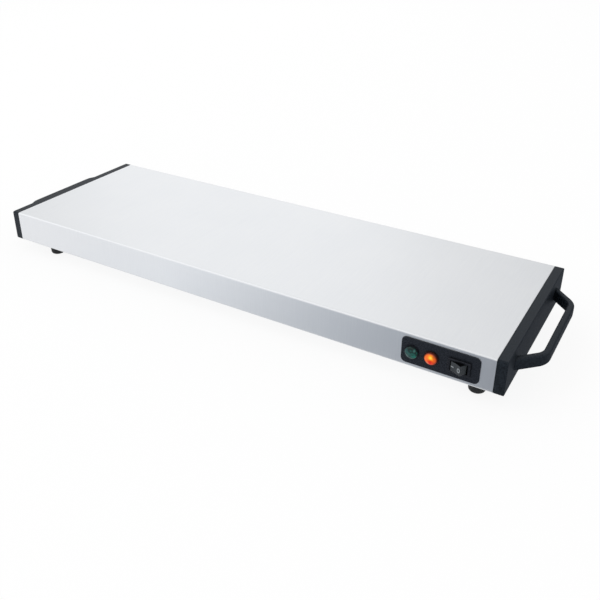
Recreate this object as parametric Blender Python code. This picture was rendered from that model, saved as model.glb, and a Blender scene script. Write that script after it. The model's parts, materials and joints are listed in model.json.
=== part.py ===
"""Electric food warming tray, built from separate parts in metres, with +Z up.

The origin lies on the table under the middle of the tray. +X runs along the long side, towards
the end with the switch. The front apron, with the control plate, faces -Y.
"""
import math

import bmesh
import bpy
from mathutils import Vector

for old_object in list(bpy.data.objects):
    bpy.data.objects.remove(old_object, do_unlink=True)

# Fits and cuts that every part shares
SEAT_GAP = 0.0003           # air between two parts that touch
OVERRUN = 0.002             # how far a cut runs past the wall that it goes through
ARC_STEPS = 3               # straight steps in a small quarter-round
ROUND_SIDES = 24            # sides of a round part that shows
SCREW_SIDES = 12            # sides of a screw or of a hidden round part
SMOOTH_ANGLE = math.radians(35)

# Sheet-metal cover: top, two aprons and two flanges that turn in at the bottom
COVER_LENGTH = 0.600
COVER_DEPTH = 0.203
COVER_HEIGHT = 0.0361
COVER_SHEET = 0.0008
COVER_FOLD = 0.002          # outer radius of each fold
FLANGE_WIDTH = 0.010
STANDING_HEIGHT = 0.0156    # from the table to the underside of the tray

# Base plate, screwed on top of the flanges
BASE_SHEET = 0.0008
BASE_END_CLEARANCE = 0.0005
BASE_SCREW_INSET = 0.110    # from the end of the cover to each flange screw
BASE_SCREW_SETBACK = 0.0068 # from the front or rear face

# End caps: a rim that shows and a skirt that plugs into the cover
CAP_WIDTH = 0.010
CAP_WALL = 0.0025
CAP_SKIRT = 0.012
CAP_SKIRT_RADIUS = 0.0016
CAP_EDGE = 0.0009           # rounding of the outer edge
CAP_SCREW_SPREAD = 0.040    # from the middle line to each cap screw
CAP_BOSS_RADIUS = 0.004
CAP_BOSS_HEIGHT = 0.006

# Handles: a straight grip on two slanted legs
HANDLE_REACH = 0.0242       # from the cap to the outer face of the grip
HANDLE_THICKNESS = 0.0066
HANDLE_HEIGHT = 0.0126
HANDLE_DROP = 0.0113        # from the top of the tray to the top of the right handle
HANDLE_RISE = 0.0014        # how much higher the left handle sits
HANDLE_SETBACK = 0.025      # from the front or rear face to the outer side of a leg at the cap
HANDLE_SPLAY = math.radians(45)
HANDLE_BEND = 0.022         # outer radius where a leg turns into the grip
HANDLE_EDGE = 0.0021        # rounding of the section
BEND_STEPS = 8
TANG_SHOULDER = 0.0008      # the tang is thinner than its leg by this on each side
TANG_LENGTH = 0.0135
SOCKET_WALL = 0.0018

# Rubber feet
FOOT_RADIUS = 0.009
FOOT_TAPER = 0.0008         # how much narrower the foot is at the table
FOOT_EDGE = 0.0028
FOOT_INSET_RIGHT = 0.0288   # from the outer face of the right cap
FOOT_INSET_LEFT = 0.0488    # from the outer face of the left cap
FOOT_SETBACK = 0.0195       # from the front or rear face of the tray
FOOT_SINK_RADIUS = 0.0045   # counterbore for the screw head
FOOT_SINK_DEPTH = 0.008

# Screws: pan heads on plain shanks
SCREW_RADIUS = 0.0015
SCREW_HEAD_RADIUS = 0.003
SCREW_HEAD_HEIGHT = 0.0022
SCREW_HEAD_EDGE = 0.0007
SCREW_REACH = 0.004         # how far a sheet screw stands out of the sheet that it holds
HANDLE_SCREW_LENGTH = 0.012

# Heating: spreader plate, tubular element and its clamps
SPREADER_THICKNESS = 0.0015
SPREADER_END_MARGIN = 0.028 # from the left end of the cover to the spreader
SPREADER_SIDE_MARGIN = 0.014
CONTROL_BAY = 0.104         # length at the right end that stays free for the controls
ELEMENT_RADIUS = 0.00325
ELEMENT_RUNS = 4
ELEMENT_SIDE_MARGIN = 0.0215 # from the side of the spreader to the outermost run
ELEMENT_END_MARGIN = 0.012  # from the spreader's end to the element
ELEMENT_BEND_STEPS = 10
STUD_RADIUS = 0.002
STUD_TAIL = 0.0015          # how far a stud stands out of its nut
STUD_WELD = 0.0004          # how deep a stud is welded into the sheet
CLAMP_WIDTH = 0.012
CLAMP_OVERHANG = 0.014      # how far a clamp reaches past the outermost run
CLAMP_SHEET = 0.001
CLAMP_SPACING = 0.210
CLAMP_SETBACK = 0.0345      # from the thermostat to the nearer clamp
NUT_FLATS = 0.007
NUT_HEIGHT = 0.0032
BEAD_RADIUS = 0.0031
BEAD_LENGTH = 0.007
PIN_RADIUS = 0.0016
PIN_LENGTH = 0.011

# Insulation mat on the base plate
MAT_THICKNESS = 0.008
MAT_SIDE_MARGIN = 0.012

# Thermostat and thermal fuse, between the two front runs of the element
THERMOSTAT_RADIUS = 0.008
THERMOSTAT_HEIGHT = 0.0095
THERMOSTAT_FLANGE = 0.0015  # how far its flange stands out
THERMOSTAT_SHEET = 0.001
THERMOSTAT_SETBACK = 0.086  # from the right end of the spreader
BLADE_WIDTH = 0.0048
BLADE_THICKNESS = 0.0008
BLADE_LENGTH = 0.009
BLADE_SPREAD = 0.004        # from the middle of the thermostat to each blade
FUSE_RADIUS = 0.0022
FUSE_LENGTH = 0.014
FUSE_WIRE_RADIUS = 0.0006
FUSE_WIRE_LENGTH = 0.008
FUSE_SETBACK = 0.031        # from the right end of the spreader
FUSE_SHIFT = 0.006          # from the middle between the two runs, to the front

# Terminal block and earth screw on the base plate
BLOCK_WAYS = 3
BLOCK_PITCH = 0.008
BLOCK_DEPTH = 0.016
BLOCK_HEIGHT = 0.014
BLOCK_INSET = 0.042         # from the right end of the cover to its middle
BLOCK_SETBACK = 0.036       # from the rear face to its middle
BLOCK_WAY_RADIUS = 0.0018
BLOCK_WAY_DEPTH = 0.005
BLOCK_SCREW_RADIUS = 0.0022
EARTH_INSET = 0.070
EARTH_SETBACK = 0.070

# Cord gland in the rear apron
GLAND_INSET = 0.050         # from the right end of the cover
GLAND_BARREL_RADIUS = 0.006
GLAND_BORE_RADIUS = 0.0037
GLAND_FLANGE_RADIUS = 0.009
GLAND_FLANGE = 0.0032
GLAND_EDGE = 0.001
GLAND_DEPTH = 0.016         # from the flange to the inner end of the barrel
GLAND_NUT_FLATS = 0.016
GLAND_NUT_HEIGHT = 0.004

# Control plate in the front apron
PLATE_WIDTH = 0.0750
PLATE_HEIGHT = 0.0277
PLATE_PROUD = 0.0010
PLATE_RADIUS = 0.005
PLATE_EDGE = 0.0006
PLATE_INSET = 0.0504        # from the right end of the cover to its middle
PLATE_LIP = 0.0024          # how far the plate reaches past its window
PLATE_PLUG = 0.004          # depth of the plug behind the lip
HOOK_LENGTH = 0.008
HOOK_HEIGHT = 0.0009
HOOK_SPREAD = 0.024

# Switch, snapped into the control plate with its bezel on the plate's face
SWITCH_SHIFT = 0.01875      # from the middle of the plate, to the right
SWITCH_DROP = 0.0005        # below the middle of the plate
BEZEL_LIP = 0.00095         # how far the bezel reaches past the housing, above and below
BEZEL_END_LIP = 0.0015      # the same at its two ends
BEZEL_THICKNESS = 0.0018
BEZEL_RADIUS = 0.0008
SWITCH_WALL = 0.0010
SWITCH_DEPTH = 0.0175
SWITCH_WELL_DEPTH = 0.0092
SWITCH_BLADE_X = 0.0045
SWITCH_BLADE_Z = 0.0035
ROCKER_HALF = 0.00566       # from the pivot line to each end of the face, along the face
ROCKER_REACH = 0.00545      # from the pivot line out to the ends of the face
ROCKER_DIP = math.radians(4)    # slope of each half of the V face
ROCKER_DRAFT = math.radians(8.4)    # how far the ends lean outwards with depth
ROCKER_BACK = 0.0020        # from the pivot line to the back
ROCKER_HEIGHT = 0.0100
ROCKER_PIVOT_DEPTH = 0.0023 # from the bezel's face to the pivot line
ROCKER_PIN_RADIUS = 0.0009
ROCKER_TILT = math.radians(24.5)
ROCKER_EDGE = 0.0004

# Signal lamps
LAMP_SPACING = 0.019
LAMP_SHIFT = 0.0078         # from the middle of the plate to the inner lamp, to the left
LAMP_DROP = 0.0005          # below the middle of the plate
LAMP_RIM_RADIUS = 0.0070
LAMP_RIM_WALL = 0.0006
LAMP_RIM_HEIGHT = 0.0009
LAMP_FLANGE = 0.0005
LAMP_BARREL_RADIUS = 0.005
LAMP_BARREL_LENGTH = 0.018
LAMP_TAIL_RADIUS = 0.003
LAMP_TAIL_LENGTH = 0.006
LENS_CROWN = 0.0017
LENS_STEPS = 5
LAMP_NUT_FLATS = 0.013
LAMP_NUT_HEIGHT = 0.003

# Inner leads
LEAD_RADIUS = 0.0012
LEAD_PULL = 0.045           # how strongly a lead keeps its first and last direction
LEAD_LOOP = 0.022           # the same on the short lead that turns back
LEAD_STEPS = 18

# Levels and faces that follow from the sizes above
HALF_LENGTH = COVER_LENGTH / 2
CAP_FACE = HALF_LENGTH + CAP_WIDTH
FRONT = -COVER_DEPTH / 2
REAR = COVER_DEPTH / 2
BODY_BOTTOM = STANDING_HEIGHT
BODY_TOP = STANDING_HEIGHT + COVER_HEIGHT
BODY_MIDDLE = STANDING_HEIGHT + COVER_HEIGHT / 2
CEILING = BODY_TOP - COVER_SHEET
BASE_BOTTOM = BODY_BOTTOM + COVER_SHEET + SEAT_GAP
BASE_TOP = BASE_BOTTOM + BASE_SHEET
FLOOR = BASE_TOP + SEAT_GAP
SCREW_HOLE = SCREW_RADIUS + SEAT_GAP
HANDLE_ROOT = REAR - HANDLE_SETBACK
SPREADER_DEPTH = COVER_DEPTH - SPREADER_SIDE_MARGIN * 2
SPREADER_RIGHT = HALF_LENGTH - CONTROL_BAY
SPREADER_LEFT = SPREADER_END_MARGIN - HALF_LENGTH
ELEMENT_PITCH = (SPREADER_DEPTH - ELEMENT_SIDE_MARGIN * 2) / (ELEMENT_RUNS - 1)
THERMOSTAT_X = SPREADER_RIGHT - THERMOSTAT_SETBACK
THERMOSTAT_LEFT = THERMOSTAT_X - THERMOSTAT_RADIUS - THERMOSTAT_FLANGE
FUSE_X = SPREADER_RIGHT - FUSE_SETBACK
CLAMP_LENGTH = ELEMENT_PITCH * (ELEMENT_RUNS - 1) + CLAMP_OVERHANG * 2
CLAMP_LAST_X = THERMOSTAT_LEFT - CLAMP_SETBACK - CLAMP_WIDTH / 2
CLAMP_X = [CLAMP_LAST_X - CLAMP_SPACING, CLAMP_LAST_X]


def finish(name, colour, roughness, metallic=0.0):
    """A plain shader with the colour and gloss of one finish."""
    material = bpy.data.materials.new(name)
    material.use_nodes = True
    shader = material.node_tree.nodes["Principled BSDF"]
    shader.inputs["Base Color"].default_value = (*colour, 1.0)
    shader.inputs["Roughness"].default_value = roughness
    shader.inputs["Metallic"].default_value = metallic
    return material


STEEL = finish("brushed stainless steel", (0.72, 0.73, 0.74), 0.32, 1.0)
ZINC = finish("zinc-plated sheet", (0.55, 0.56, 0.57), 0.45, 1.0)
ALUMINIUM = finish("rolled aluminium", (0.78, 0.79, 0.80), 0.38, 1.0)
SHEATH = finish("element sheath steel", (0.36, 0.35, 0.34), 0.45, 1.0)
BLACK_PLASTIC = finish("black moulded plastic", (0.030, 0.033, 0.036), 0.55)
PLATE_PLASTIC = finish("dark control plate plastic", (0.022, 0.024, 0.028), 0.45)
SWITCH_PLASTIC = finish("glossy switch plastic", (0.012, 0.012, 0.013), 0.28)
RUBBER = finish("black rubber", (0.016, 0.016, 0.016), 0.8)
ORANGE_LENS = finish("orange lamp lens", (1.0, 0.10, 0.01), 0.15)
GREEN_LENS = finish("green lamp lens", (0.02, 0.11, 0.09), 0.15)
GLASS_FIBRE = finish("glass fibre mat", (0.75, 0.72, 0.62), 0.95)
PHENOLIC = finish("brown phenolic", (0.12, 0.05, 0.03), 0.5)
CERAMIC = finish("white ceramic", (0.82, 0.80, 0.76), 0.35)
BRASS = finish("brass", (0.70, 0.52, 0.22), 0.3, 1.0)
LIVE_SLEEVE = finish("brown lead sleeve", (0.13, 0.05, 0.03), 0.5)
NEUTRAL_SLEEVE = finish("blue lead sleeve", (0.03, 0.08, 0.30), 0.5)
HEAT_SLEEVE = finish("white heat-proof lead sleeve", (0.70, 0.69, 0.66), 0.6)


def add_object(name, mesh, material):
    """Link a mesh as a named object, with round faces shaded smooth."""
    mesh.shade_smooth()
    mesh.set_sharp_from_angle(angle=SMOOTH_ANGLE)
    obj = bpy.data.objects.new(name, mesh)
    bpy.context.collection.objects.link(obj)
    if material:
        obj.data.materials.append(material)
    return obj


def loft(name, rings, material, ring_closed=False):
    """A closed skin through rings that have the same number of points each."""
    bm = bmesh.new()
    loops = [[bm.verts.new(point) for point in ring] for ring in rings]
    pairs = list(zip(loops, loops[1:]))
    if ring_closed:
        pairs.append((loops[-1], loops[0]))
    for lower, upper in pairs:
        for i in range(len(lower)):
            j = (i + 1) % len(lower)
            bm.faces.new((lower[i], lower[j], upper[j], upper[i]))
    if not ring_closed:
        bm.faces.new(loops[0])
        bm.faces.new(loops[-1])
    bmesh.ops.recalc_face_normals(bm, faces=bm.faces)
    mesh = bpy.data.meshes.new(name)
    bm.to_mesh(mesh)
    bm.free()
    return add_object(name, mesh, material)


def axis_point(axis, u, v, along):
    """The point at outline place u, v and at a distance along an axis."""
    places = {"X": (along, u, v), "Y": (u, along, v), "Z": (u, v, along)}
    return Vector(places[axis])


def round_corner(before, corner, after, radius, steps):
    """Points of the arc that rounds one corner of an outline."""
    corner = Vector(corner)
    if radius <= 0:
        return [corner]
    back = (Vector(before) - corner).normalized()
    ahead = (Vector(after) - corner).normalized()
    half_angle = back.angle(ahead) / 2
    centre = corner + (back + ahead).normalized() * (radius / math.sin(half_angle))
    first = corner + back * (radius / math.tan(half_angle)) - centre
    last = corner + ahead * (radius / math.tan(half_angle)) - centre
    sweep = first.angle(last)
    points = []
    for i in range(steps + 1):
        share = i / steps
        mixed = first * math.sin((1 - share) * sweep) + last * math.sin(share * sweep)
        points.append(centre + mixed / math.sin(sweep))
    return points


def round_outline(corners, radii, steps=ARC_STEPS):
    """A closed outline through corners, each rounded by its radius."""
    points = []
    for i, corner in enumerate(corners):
        before = corners[i - 1]
        after = corners[(i + 1) % len(corners)]
        points += round_corner(before, corner, after, radii[i], steps)
    return points


def rectangle(width, height, radius=0.0, centre=(0.0, 0.0), steps=ARC_STEPS):
    """Outline of a rectangle with equal corners."""
    cu, cv = centre
    u, v = width / 2, height / 2
    corners = [(cu - u, cv - v), (cu + u, cv - v), (cu + u, cv + v), (cu - u, cv + v)]
    return round_outline(corners, [radius] * len(corners), steps)


def hexagon(flats):
    """Outline of a hexagon, given the width over its flats."""
    radius = flats / math.sqrt(3)
    turns = [math.tau * i / 6 for i in range(6)]
    return [(radius * math.cos(turn), radius * math.sin(turn)) for turn in turns]


def prism(name, outline, axis, start, end, material=None):
    """An outline drawn out along an axis."""
    rings = [[axis_point(axis, u, v, along) for u, v in outline] for along in (start, end)]
    return loft(name, rings, material)


def block(name, low, high, material=None):
    """A plain box between two corners."""
    outline = [(low[0], low[1]), (high[0], low[1]), (high[0], high[1]), (low[0], high[1])]
    return prism(name, outline, "Z", low[2], high[2], material)


def turned(name, profile, material=None, sides=SCREW_SIDES):
    """A round part along its own Z. Profile points are radius and height; radius 0 is a tip."""
    bm = bmesh.new()
    rings = []
    for radius, height in profile:
        count = sides if radius > 0 else 1
        turns = [math.tau * i / sides for i in range(count)]
        ring = [(radius * math.cos(t), radius * math.sin(t), height) for t in turns]
        rings.append([bm.verts.new(point) for point in ring])
    pairs = list(zip(rings, rings[1:]))
    if profile[0][0] > 0:
        pairs.append((rings[-1], rings[0]))
    for lower, upper in pairs:
        for i in range(sides):
            j = (i + 1) % sides
            corners = [lower[i % len(lower)], lower[j % len(lower)]]
            corners += [upper[j % len(upper)], upper[i % len(upper)]]
            bm.faces.new(list(dict.fromkeys(corners)))
    bmesh.ops.recalc_face_normals(bm, faces=bm.faces)
    mesh = bpy.data.meshes.new(name)
    bm.to_mesh(mesh)
    bm.free()
    return add_object(name, mesh, material)


QUARTER = math.pi / 2
AIMS = {"+X": (0, QUARTER, 0), "-X": (0, -QUARTER, 0), "+Y": (-QUARTER, 0, 0),
        "-Y": (QUARTER, 0, 0), "+Z": (0, 0, 0), "-Z": (math.pi, 0, 0)}


def aim(obj, place, direction):
    """Put a turned part's origin at a place, with its own Z along a direction."""
    obj.location = place
    obj.rotation_euler = AIMS[direction]
    return obj


def combine(target, tool, operation):
    """Join a tool to a part, or cut it out of the part."""
    tool.hide_render = True
    tool.display_type = "WIRE"
    modifier = target.modifiers.new(tool.name, "BOOLEAN")
    modifier.operation = operation
    modifier.object = tool


def cut(target, tool):
    combine(target, tool, "DIFFERENCE")


def join(target, tool):
    combine(target, tool, "UNION")


def drill(target, name, place, direction, radius, depth, sides=SCREW_SIDES):
    """A round hole that starts an overrun before its place and ends at its depth."""
    profile = [(0, -OVERRUN), (radius, -OVERRUN), (radius, depth), (0, depth)]
    cut(target, aim(turned(name, profile, sides=sides), place, direction))


def pan_screw(name, seat, direction, length, material):
    """A screw whose head rests at its seat and whose shank runs along the direction."""
    top = -SCREW_HEAD_HEIGHT
    profile = [
        (0, top),
        (SCREW_HEAD_RADIUS - SCREW_HEAD_EDGE, top),
        (SCREW_HEAD_RADIUS, top + SCREW_HEAD_EDGE),
        (SCREW_HEAD_RADIUS, 0),
        (SCREW_RADIUS, 0),
        (SCREW_RADIUS, length),
        (0, length),
    ]
    return aim(turned(name, profile, material), seat, direction)


def hex_nut(name, place, direction, flats, height, bore, material):
    """A nut that starts at its place and grows along the direction."""
    nut = prism(name, hexagon(flats), "Z", 0, height, material)
    drill(nut, name + "_bore", place, direction, bore, height + OVERRUN)
    return aim(nut, place, direction)


# Places of the fasteners, used by every part that they go through
FOOT_PLACES = {
    "front_right": (CAP_FACE - FOOT_INSET_RIGHT, FRONT + FOOT_SETBACK),
    "rear_right": (CAP_FACE - FOOT_INSET_RIGHT, REAR - FOOT_SETBACK),
    "front_left": (FOOT_INSET_LEFT - CAP_FACE, FRONT + FOOT_SETBACK),
    "rear_left": (FOOT_INSET_LEFT - CAP_FACE, REAR - FOOT_SETBACK),
}
SIDES = {"left": -1, "right": 1}
ROWS = {"front": -1, "rear": 1}
BASE_SCREW_PLACES = {
    row + "_" + side: (SIDES[side] * (HALF_LENGTH - BASE_SCREW_INSET),
                       ROWS[row] * (REAR - BASE_SCREW_SETBACK))
    for side in SIDES for row in ROWS
}
CAP_SCREW_PLACES = {
    side + "_" + row: (SIDES[side] * (HALF_LENGTH - CAP_SKIRT / 2), ROWS[row] * CAP_SCREW_SPREAD)
    for side in SIDES for row in ROWS
}
STUD_PLACES = {
    str(number) + "_" + row: (x, ROWS[row] * ELEMENT_PITCH)
    for number, x in enumerate(CLAMP_X, 1) for row in ROWS
}

# Levels of the heating stack, from the top down
SPREADER_TOP = CEILING - SEAT_GAP
SPREADER_BOTTOM = SPREADER_TOP - SPREADER_THICKNESS
ELEMENT_LEVEL = SPREADER_BOTTOM - SEAT_GAP - ELEMENT_RADIUS
CLAMP_TOP = ELEMENT_LEVEL - ELEMENT_RADIUS - SEAT_GAP
CLAMP_BOTTOM = CLAMP_TOP - CLAMP_SHEET
NUT_TOP = CLAMP_BOTTOM - SEAT_GAP
STUD_END = NUT_TOP - NUT_HEIGHT - STUD_TAIL
STUD_HOLE = STUD_RADIUS + SEAT_GAP

# Centres of the control plate, its switch and its lamps
PLATE_X = HALF_LENGTH - PLATE_INSET
PLATE_FACE = FRONT - PLATE_PROUD
PLATE_BACK = FRONT - SEAT_GAP + PLATE_PLUG
WINDOW_WIDTH = PLATE_WIDTH - PLATE_LIP * 2
WINDOW_HEIGHT = PLATE_HEIGHT - PLATE_LIP * 2
SWITCH_X = PLATE_X + SWITCH_SHIFT
SWITCH_Z = BODY_MIDDLE - SWITCH_DROP
LAMP_Z = BODY_MIDDLE - LAMP_DROP
LAMPS = {
    "orange": (PLATE_X - LAMP_SHIFT, ORANGE_LENS),
    "green": (PLATE_X - LAMP_SHIFT - LAMP_SPACING, GREEN_LENS),
}
GLAND_X = HALF_LENGTH - GLAND_INSET

# The switch grows round its rocker: well, housing and bezel
ROCKER_SWEEP = math.hypot(ROCKER_HALF, ROCKER_REACH)
SWITCH_WELL_WIDTH = (ROCKER_SWEEP + SEAT_GAP) * 2
SWITCH_WELL_HEIGHT = ROCKER_HEIGHT + SEAT_GAP * 2
SWITCH_WIDTH = SWITCH_WELL_WIDTH + SWITCH_WALL * 2
SWITCH_HEIGHT = SWITCH_WELL_HEIGHT + SWITCH_WALL * 2
BEZEL_WIDTH = SWITCH_WIDTH + BEZEL_END_LIP * 2
BEZEL_HEIGHT = SWITCH_HEIGHT + BEZEL_LIP * 2


def make_cover():
    """One folded sheet, open at both ends, with four welded studs under the top."""
    half = COVER_DEPTH / 2
    lip = half - FLANGE_WIDTH
    inner = half - COVER_SHEET
    inner_fold = COVER_FOLD - COVER_SHEET
    flange_top = BODY_BOTTOM + COVER_SHEET
    corners = [
        (-lip, BODY_BOTTOM), (-half, BODY_BOTTOM), (-half, BODY_TOP),
        (half, BODY_TOP), (half, BODY_BOTTOM), (lip, BODY_BOTTOM),
        (lip, flange_top), (inner, flange_top), (inner, CEILING),
        (-inner, CEILING), (-inner, flange_top), (-lip, flange_top),
    ]
    radii = [0, COVER_FOLD, COVER_FOLD, COVER_FOLD, COVER_FOLD, 0,
             0, inner_fold, inner_fold, inner_fold, inner_fold, 0]
    outline = round_outline(corners, radii)
    cover = prism("top_cover", outline, "X", -HALF_LENGTH, HALF_LENGTH, STEEL)
    weld_level = CEILING + STUD_WELD
    stud_profile = [(0, 0), (STUD_RADIUS, 0), (STUD_RADIUS, weld_level - STUD_END)]
    stud_profile.append((0, weld_level - STUD_END))
    for place, (x, y) in STUD_PLACES.items():
        stud = turned("stud_" + place, stud_profile)
        join(cover, aim(stud, (x, y, STUD_END), "+Z"))
    window = rectangle(WINDOW_WIDTH, WINDOW_HEIGHT, PLATE_EDGE, (PLATE_X, BODY_MIDDLE))
    cut(cover, prism("control_window", window, "Y", FRONT - OVERRUN,
                     FRONT + COVER_SHEET + OVERRUN))
    gland_mouth = (GLAND_X, REAR - COVER_SHEET - OVERRUN, BODY_MIDDLE)
    drill(cover, "gland_hole", gland_mouth, "+Y", GLAND_BARREL_RADIUS + SEAT_GAP,
          COVER_SHEET + OVERRUN * 2, ROUND_SIDES)
    for place, (x, y) in BASE_SCREW_PLACES.items():
        drill(cover, "flange_hole_" + place, (x, y, BODY_BOTTOM), "+Z", SCREW_HOLE,
              COVER_SHEET + OVERRUN)


def make_base():
    """Flat plate on the flanges, drilled for the screws of the feet, caps and flanges."""
    half_x = HALF_LENGTH - BASE_END_CLEARANCE
    half_y = REAR - COVER_FOLD - SEAT_GAP
    base = block("base_plate", (-half_x, -half_y, BASE_BOTTOM), (half_x, half_y, BASE_TOP), ZINC)
    holes = {"foot_" + name: place for name, place in FOOT_PLACES.items()}
    holes.update({"flange_" + name: place for name, place in BASE_SCREW_PLACES.items()})
    holes.update({"cap_" + name: place for name, place in CAP_SCREW_PLACES.items()})
    holes["earth"] = (HALF_LENGTH - EARTH_INSET, REAR - EARTH_SETBACK)
    for name, (x, y) in holes.items():
        drill(base, "base_hole_" + name, (x, y, BASE_BOTTOM), "+Z", SCREW_HOLE,
              BASE_SHEET + OVERRUN)
    for name, (x, y) in BASE_SCREW_PLACES.items():
        seat = (x, y, BODY_BOTTOM - SEAT_GAP)
        length = BASE_TOP - BODY_BOTTOM + SEAT_GAP + SCREW_REACH
        pan_screw("base_screw_" + name, seat, "+Z", length, ZINC)


def cap_ring(side, distance, inset):
    """Outline of the cap's rim, pulled in on all sides, at a distance from the middle."""
    outline = rectangle(COVER_DEPTH - inset * 2, COVER_HEIGHT - inset * 2,
                        COVER_FOLD - inset, (0.0, BODY_MIDDLE))
    return [axis_point("X", u, v, side * distance) for u, v in outline]


TANG_WIDTH = HANDLE_THICKNESS / math.cos(HANDLE_SPLAY) - TANG_SHOULDER * 2
TANG_HEIGHT = HANDLE_HEIGHT - TANG_SHOULDER * 2
TANG_Y = HANDLE_ROOT - HANDLE_THICKNESS / math.cos(HANDLE_SPLAY) / 2
HANDLE_TOP = BODY_TOP - HANDLE_DROP
HANDLE_LEVEL = HANDLE_TOP - HANDLE_HEIGHT / 2
HANDLE_LEVELS = {"left": HANDLE_LEVEL + HANDLE_RISE, "right": HANDLE_LEVEL}
TANG_TIP = CAP_FACE - TANG_LENGTH
SOCKET_FLOOR = TANG_TIP - SEAT_GAP
SOCKET_BACK = SOCKET_FLOOR - SOCKET_WALL


def make_cap(side_name):
    """Rim, skirt and end wall in one moulding, with two sockets and two screw bosses."""
    side = SIDES[side_name]
    middle = HANDLE_LEVELS[side_name]
    rings = [cap_ring(side, HALF_LENGTH + SEAT_GAP, 0.0)]
    for i in range(ARC_STEPS + 1):
        turn = QUARTER * i / ARC_STEPS
        distance = CAP_FACE - CAP_EDGE + CAP_EDGE * math.sin(turn)
        rings.append(cap_ring(side, distance, CAP_EDGE * (1 - math.cos(turn))))
    cap = loft("end_cap_" + side_name, rings, BLACK_PLASTIC)
    skirt_depth = COVER_DEPTH - COVER_SHEET * 2 - SEAT_GAP * 2
    skirt_top = CEILING - SEAT_GAP
    skirt_height = skirt_top - FLOOR
    skirt_middle = (skirt_top + FLOOR) / 2
    skirt_end = HALF_LENGTH - CAP_SKIRT
    outline = rectangle(skirt_depth, skirt_height, CAP_SKIRT_RADIUS, (0.0, skirt_middle))
    name = "cap_" + side_name
    join(cap, prism(name + "_skirt", outline, "X", side * skirt_end, side * (CAP_FACE - CAP_WALL)))
    hollow = rectangle(skirt_depth - CAP_WALL * 2, skirt_height - CAP_WALL * 2, 0.0,
                       (0.0, skirt_middle))
    cut(cap, prism(name + "_hollow", hollow, "X", side * (skirt_end - OVERRUN),
                   side * (CAP_FACE - CAP_WALL)))
    pocket_width = TANG_WIDTH + SEAT_GAP * 2
    pocket_height = TANG_HEIGHT + SEAT_GAP * 2
    inward = "+X" if side > 0 else "-X"
    for row_name, row in ROWS.items():
        place = (row * TANG_Y, middle)
        walls = rectangle(pocket_width + SOCKET_WALL * 2, pocket_height + SOCKET_WALL * 2,
                          0.0, place)
        tag = name + "_" + row_name
        join(cap, prism(tag + "_socket", walls, "X", side * SOCKET_BACK,
                        side * (CAP_FACE - CAP_WALL / 2)))
        x, y = CAP_SCREW_PLACES[side_name + "_" + row_name]
        boss_foot = FLOOR + CAP_WALL / 2
        boss_height = CAP_WALL / 2 + CAP_BOSS_HEIGHT
        boss_profile = [(0, 0), (CAP_BOSS_RADIUS, 0), (CAP_BOSS_RADIUS, boss_height)]
        boss_profile.append((0, boss_height))
        join(cap, aim(turned(tag + "_boss", boss_profile), (x, y, boss_foot), "+Z"))
        pocket = rectangle(pocket_width, pocket_height, 0.0, place)
        cut(cap, prism(tag + "_pocket", pocket, "X", side * SOCKET_FLOOR,
                       side * (CAP_FACE + OVERRUN)))
        drill(cap, tag + "_screw_hole", (side * SOCKET_BACK, row * TANG_Y, middle),
              inward, SCREW_HOLE, SOCKET_WALL + OVERRUN)
        drill(cap, tag + "_boss_hole", (x, y, FLOOR), "+Z", SCREW_HOLE,
              CAP_WALL + CAP_BOSS_HEIGHT + OVERRUN)
        seat = (x, y, BASE_BOTTOM - SEAT_GAP)
        pan_screw("cap_screw_" + side_name + "_" + row_name, seat, "+Z",
                  FLOOR - BASE_BOTTOM + CAP_WALL + SCREW_REACH, ZINC)


def handle_line(side, offset):
    """The handle's run in plan at an offset inside its outermost line, from rear to front."""
    start_x = CAP_FACE + SEAT_GAP
    root_y = HANDLE_ROOT - offset / math.cos(HANDLE_SPLAY)
    grip_x = CAP_FACE + HANDLE_REACH - offset
    bend_y = root_y - (grip_x - start_x) * math.tan(HANDLE_SPLAY)
    root = (start_x, root_y)
    half = [Vector(root)]
    half += round_corner(root, (grip_x, bend_y), (grip_x, 0.0), HANDLE_BEND - offset, BEND_STEPS)
    points = half + [Vector((x, -y)) for x, y in reversed(half)]
    return [Vector((side * x, y)) for x, y in points]


def make_handle(side_name):
    """Grip and legs swept along a bent line, with two tangs that enter the cap."""
    side = SIDES[side_name]
    middle = HANDLE_LEVELS[side_name]
    section = rectangle(HANDLE_THICKNESS, HANDLE_HEIGHT, HANDLE_EDGE,
                        (HANDLE_THICKNESS / 2, middle))
    outer_line = handle_line(side, 0.0)
    inner_line = handle_line(side, HANDLE_THICKNESS)
    rings = []
    for outer, inner in zip(outer_line, inner_line):
        ring = []
        for offset, level in section:
            point = outer.lerp(inner, offset / HANDLE_THICKNESS)
            ring.append(Vector((point.x, point.y, level)))
        rings.append(ring)
    handle = loft("handle_" + side_name, rings, BLACK_PLASTIC)
    inward = "+X" if side > 0 else "-X"
    for row_name, row in ROWS.items():
        tag = "handle_" + side_name + "_" + row_name
        tang = rectangle(TANG_WIDTH, TANG_HEIGHT, 0.0, (row * TANG_Y, middle))
        join(handle, prism(tag + "_tang", tang, "X", side * TANG_TIP,
                           side * (CAP_FACE + SEAT_GAP + TANG_SHOULDER / 2)))
        mouth = (side * TANG_TIP, row * TANG_Y, middle)
        drill(handle, tag + "_pilot", mouth, inward, SCREW_HOLE,
              HANDLE_SCREW_LENGTH - SOCKET_WALL)
        seat = (side * (SOCKET_BACK - SEAT_GAP), row * TANG_Y, middle)
        pan_screw("handle_screw_" + side_name + "_" + row_name, seat, inward,
                  HANDLE_SCREW_LENGTH, ZINC)


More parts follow.
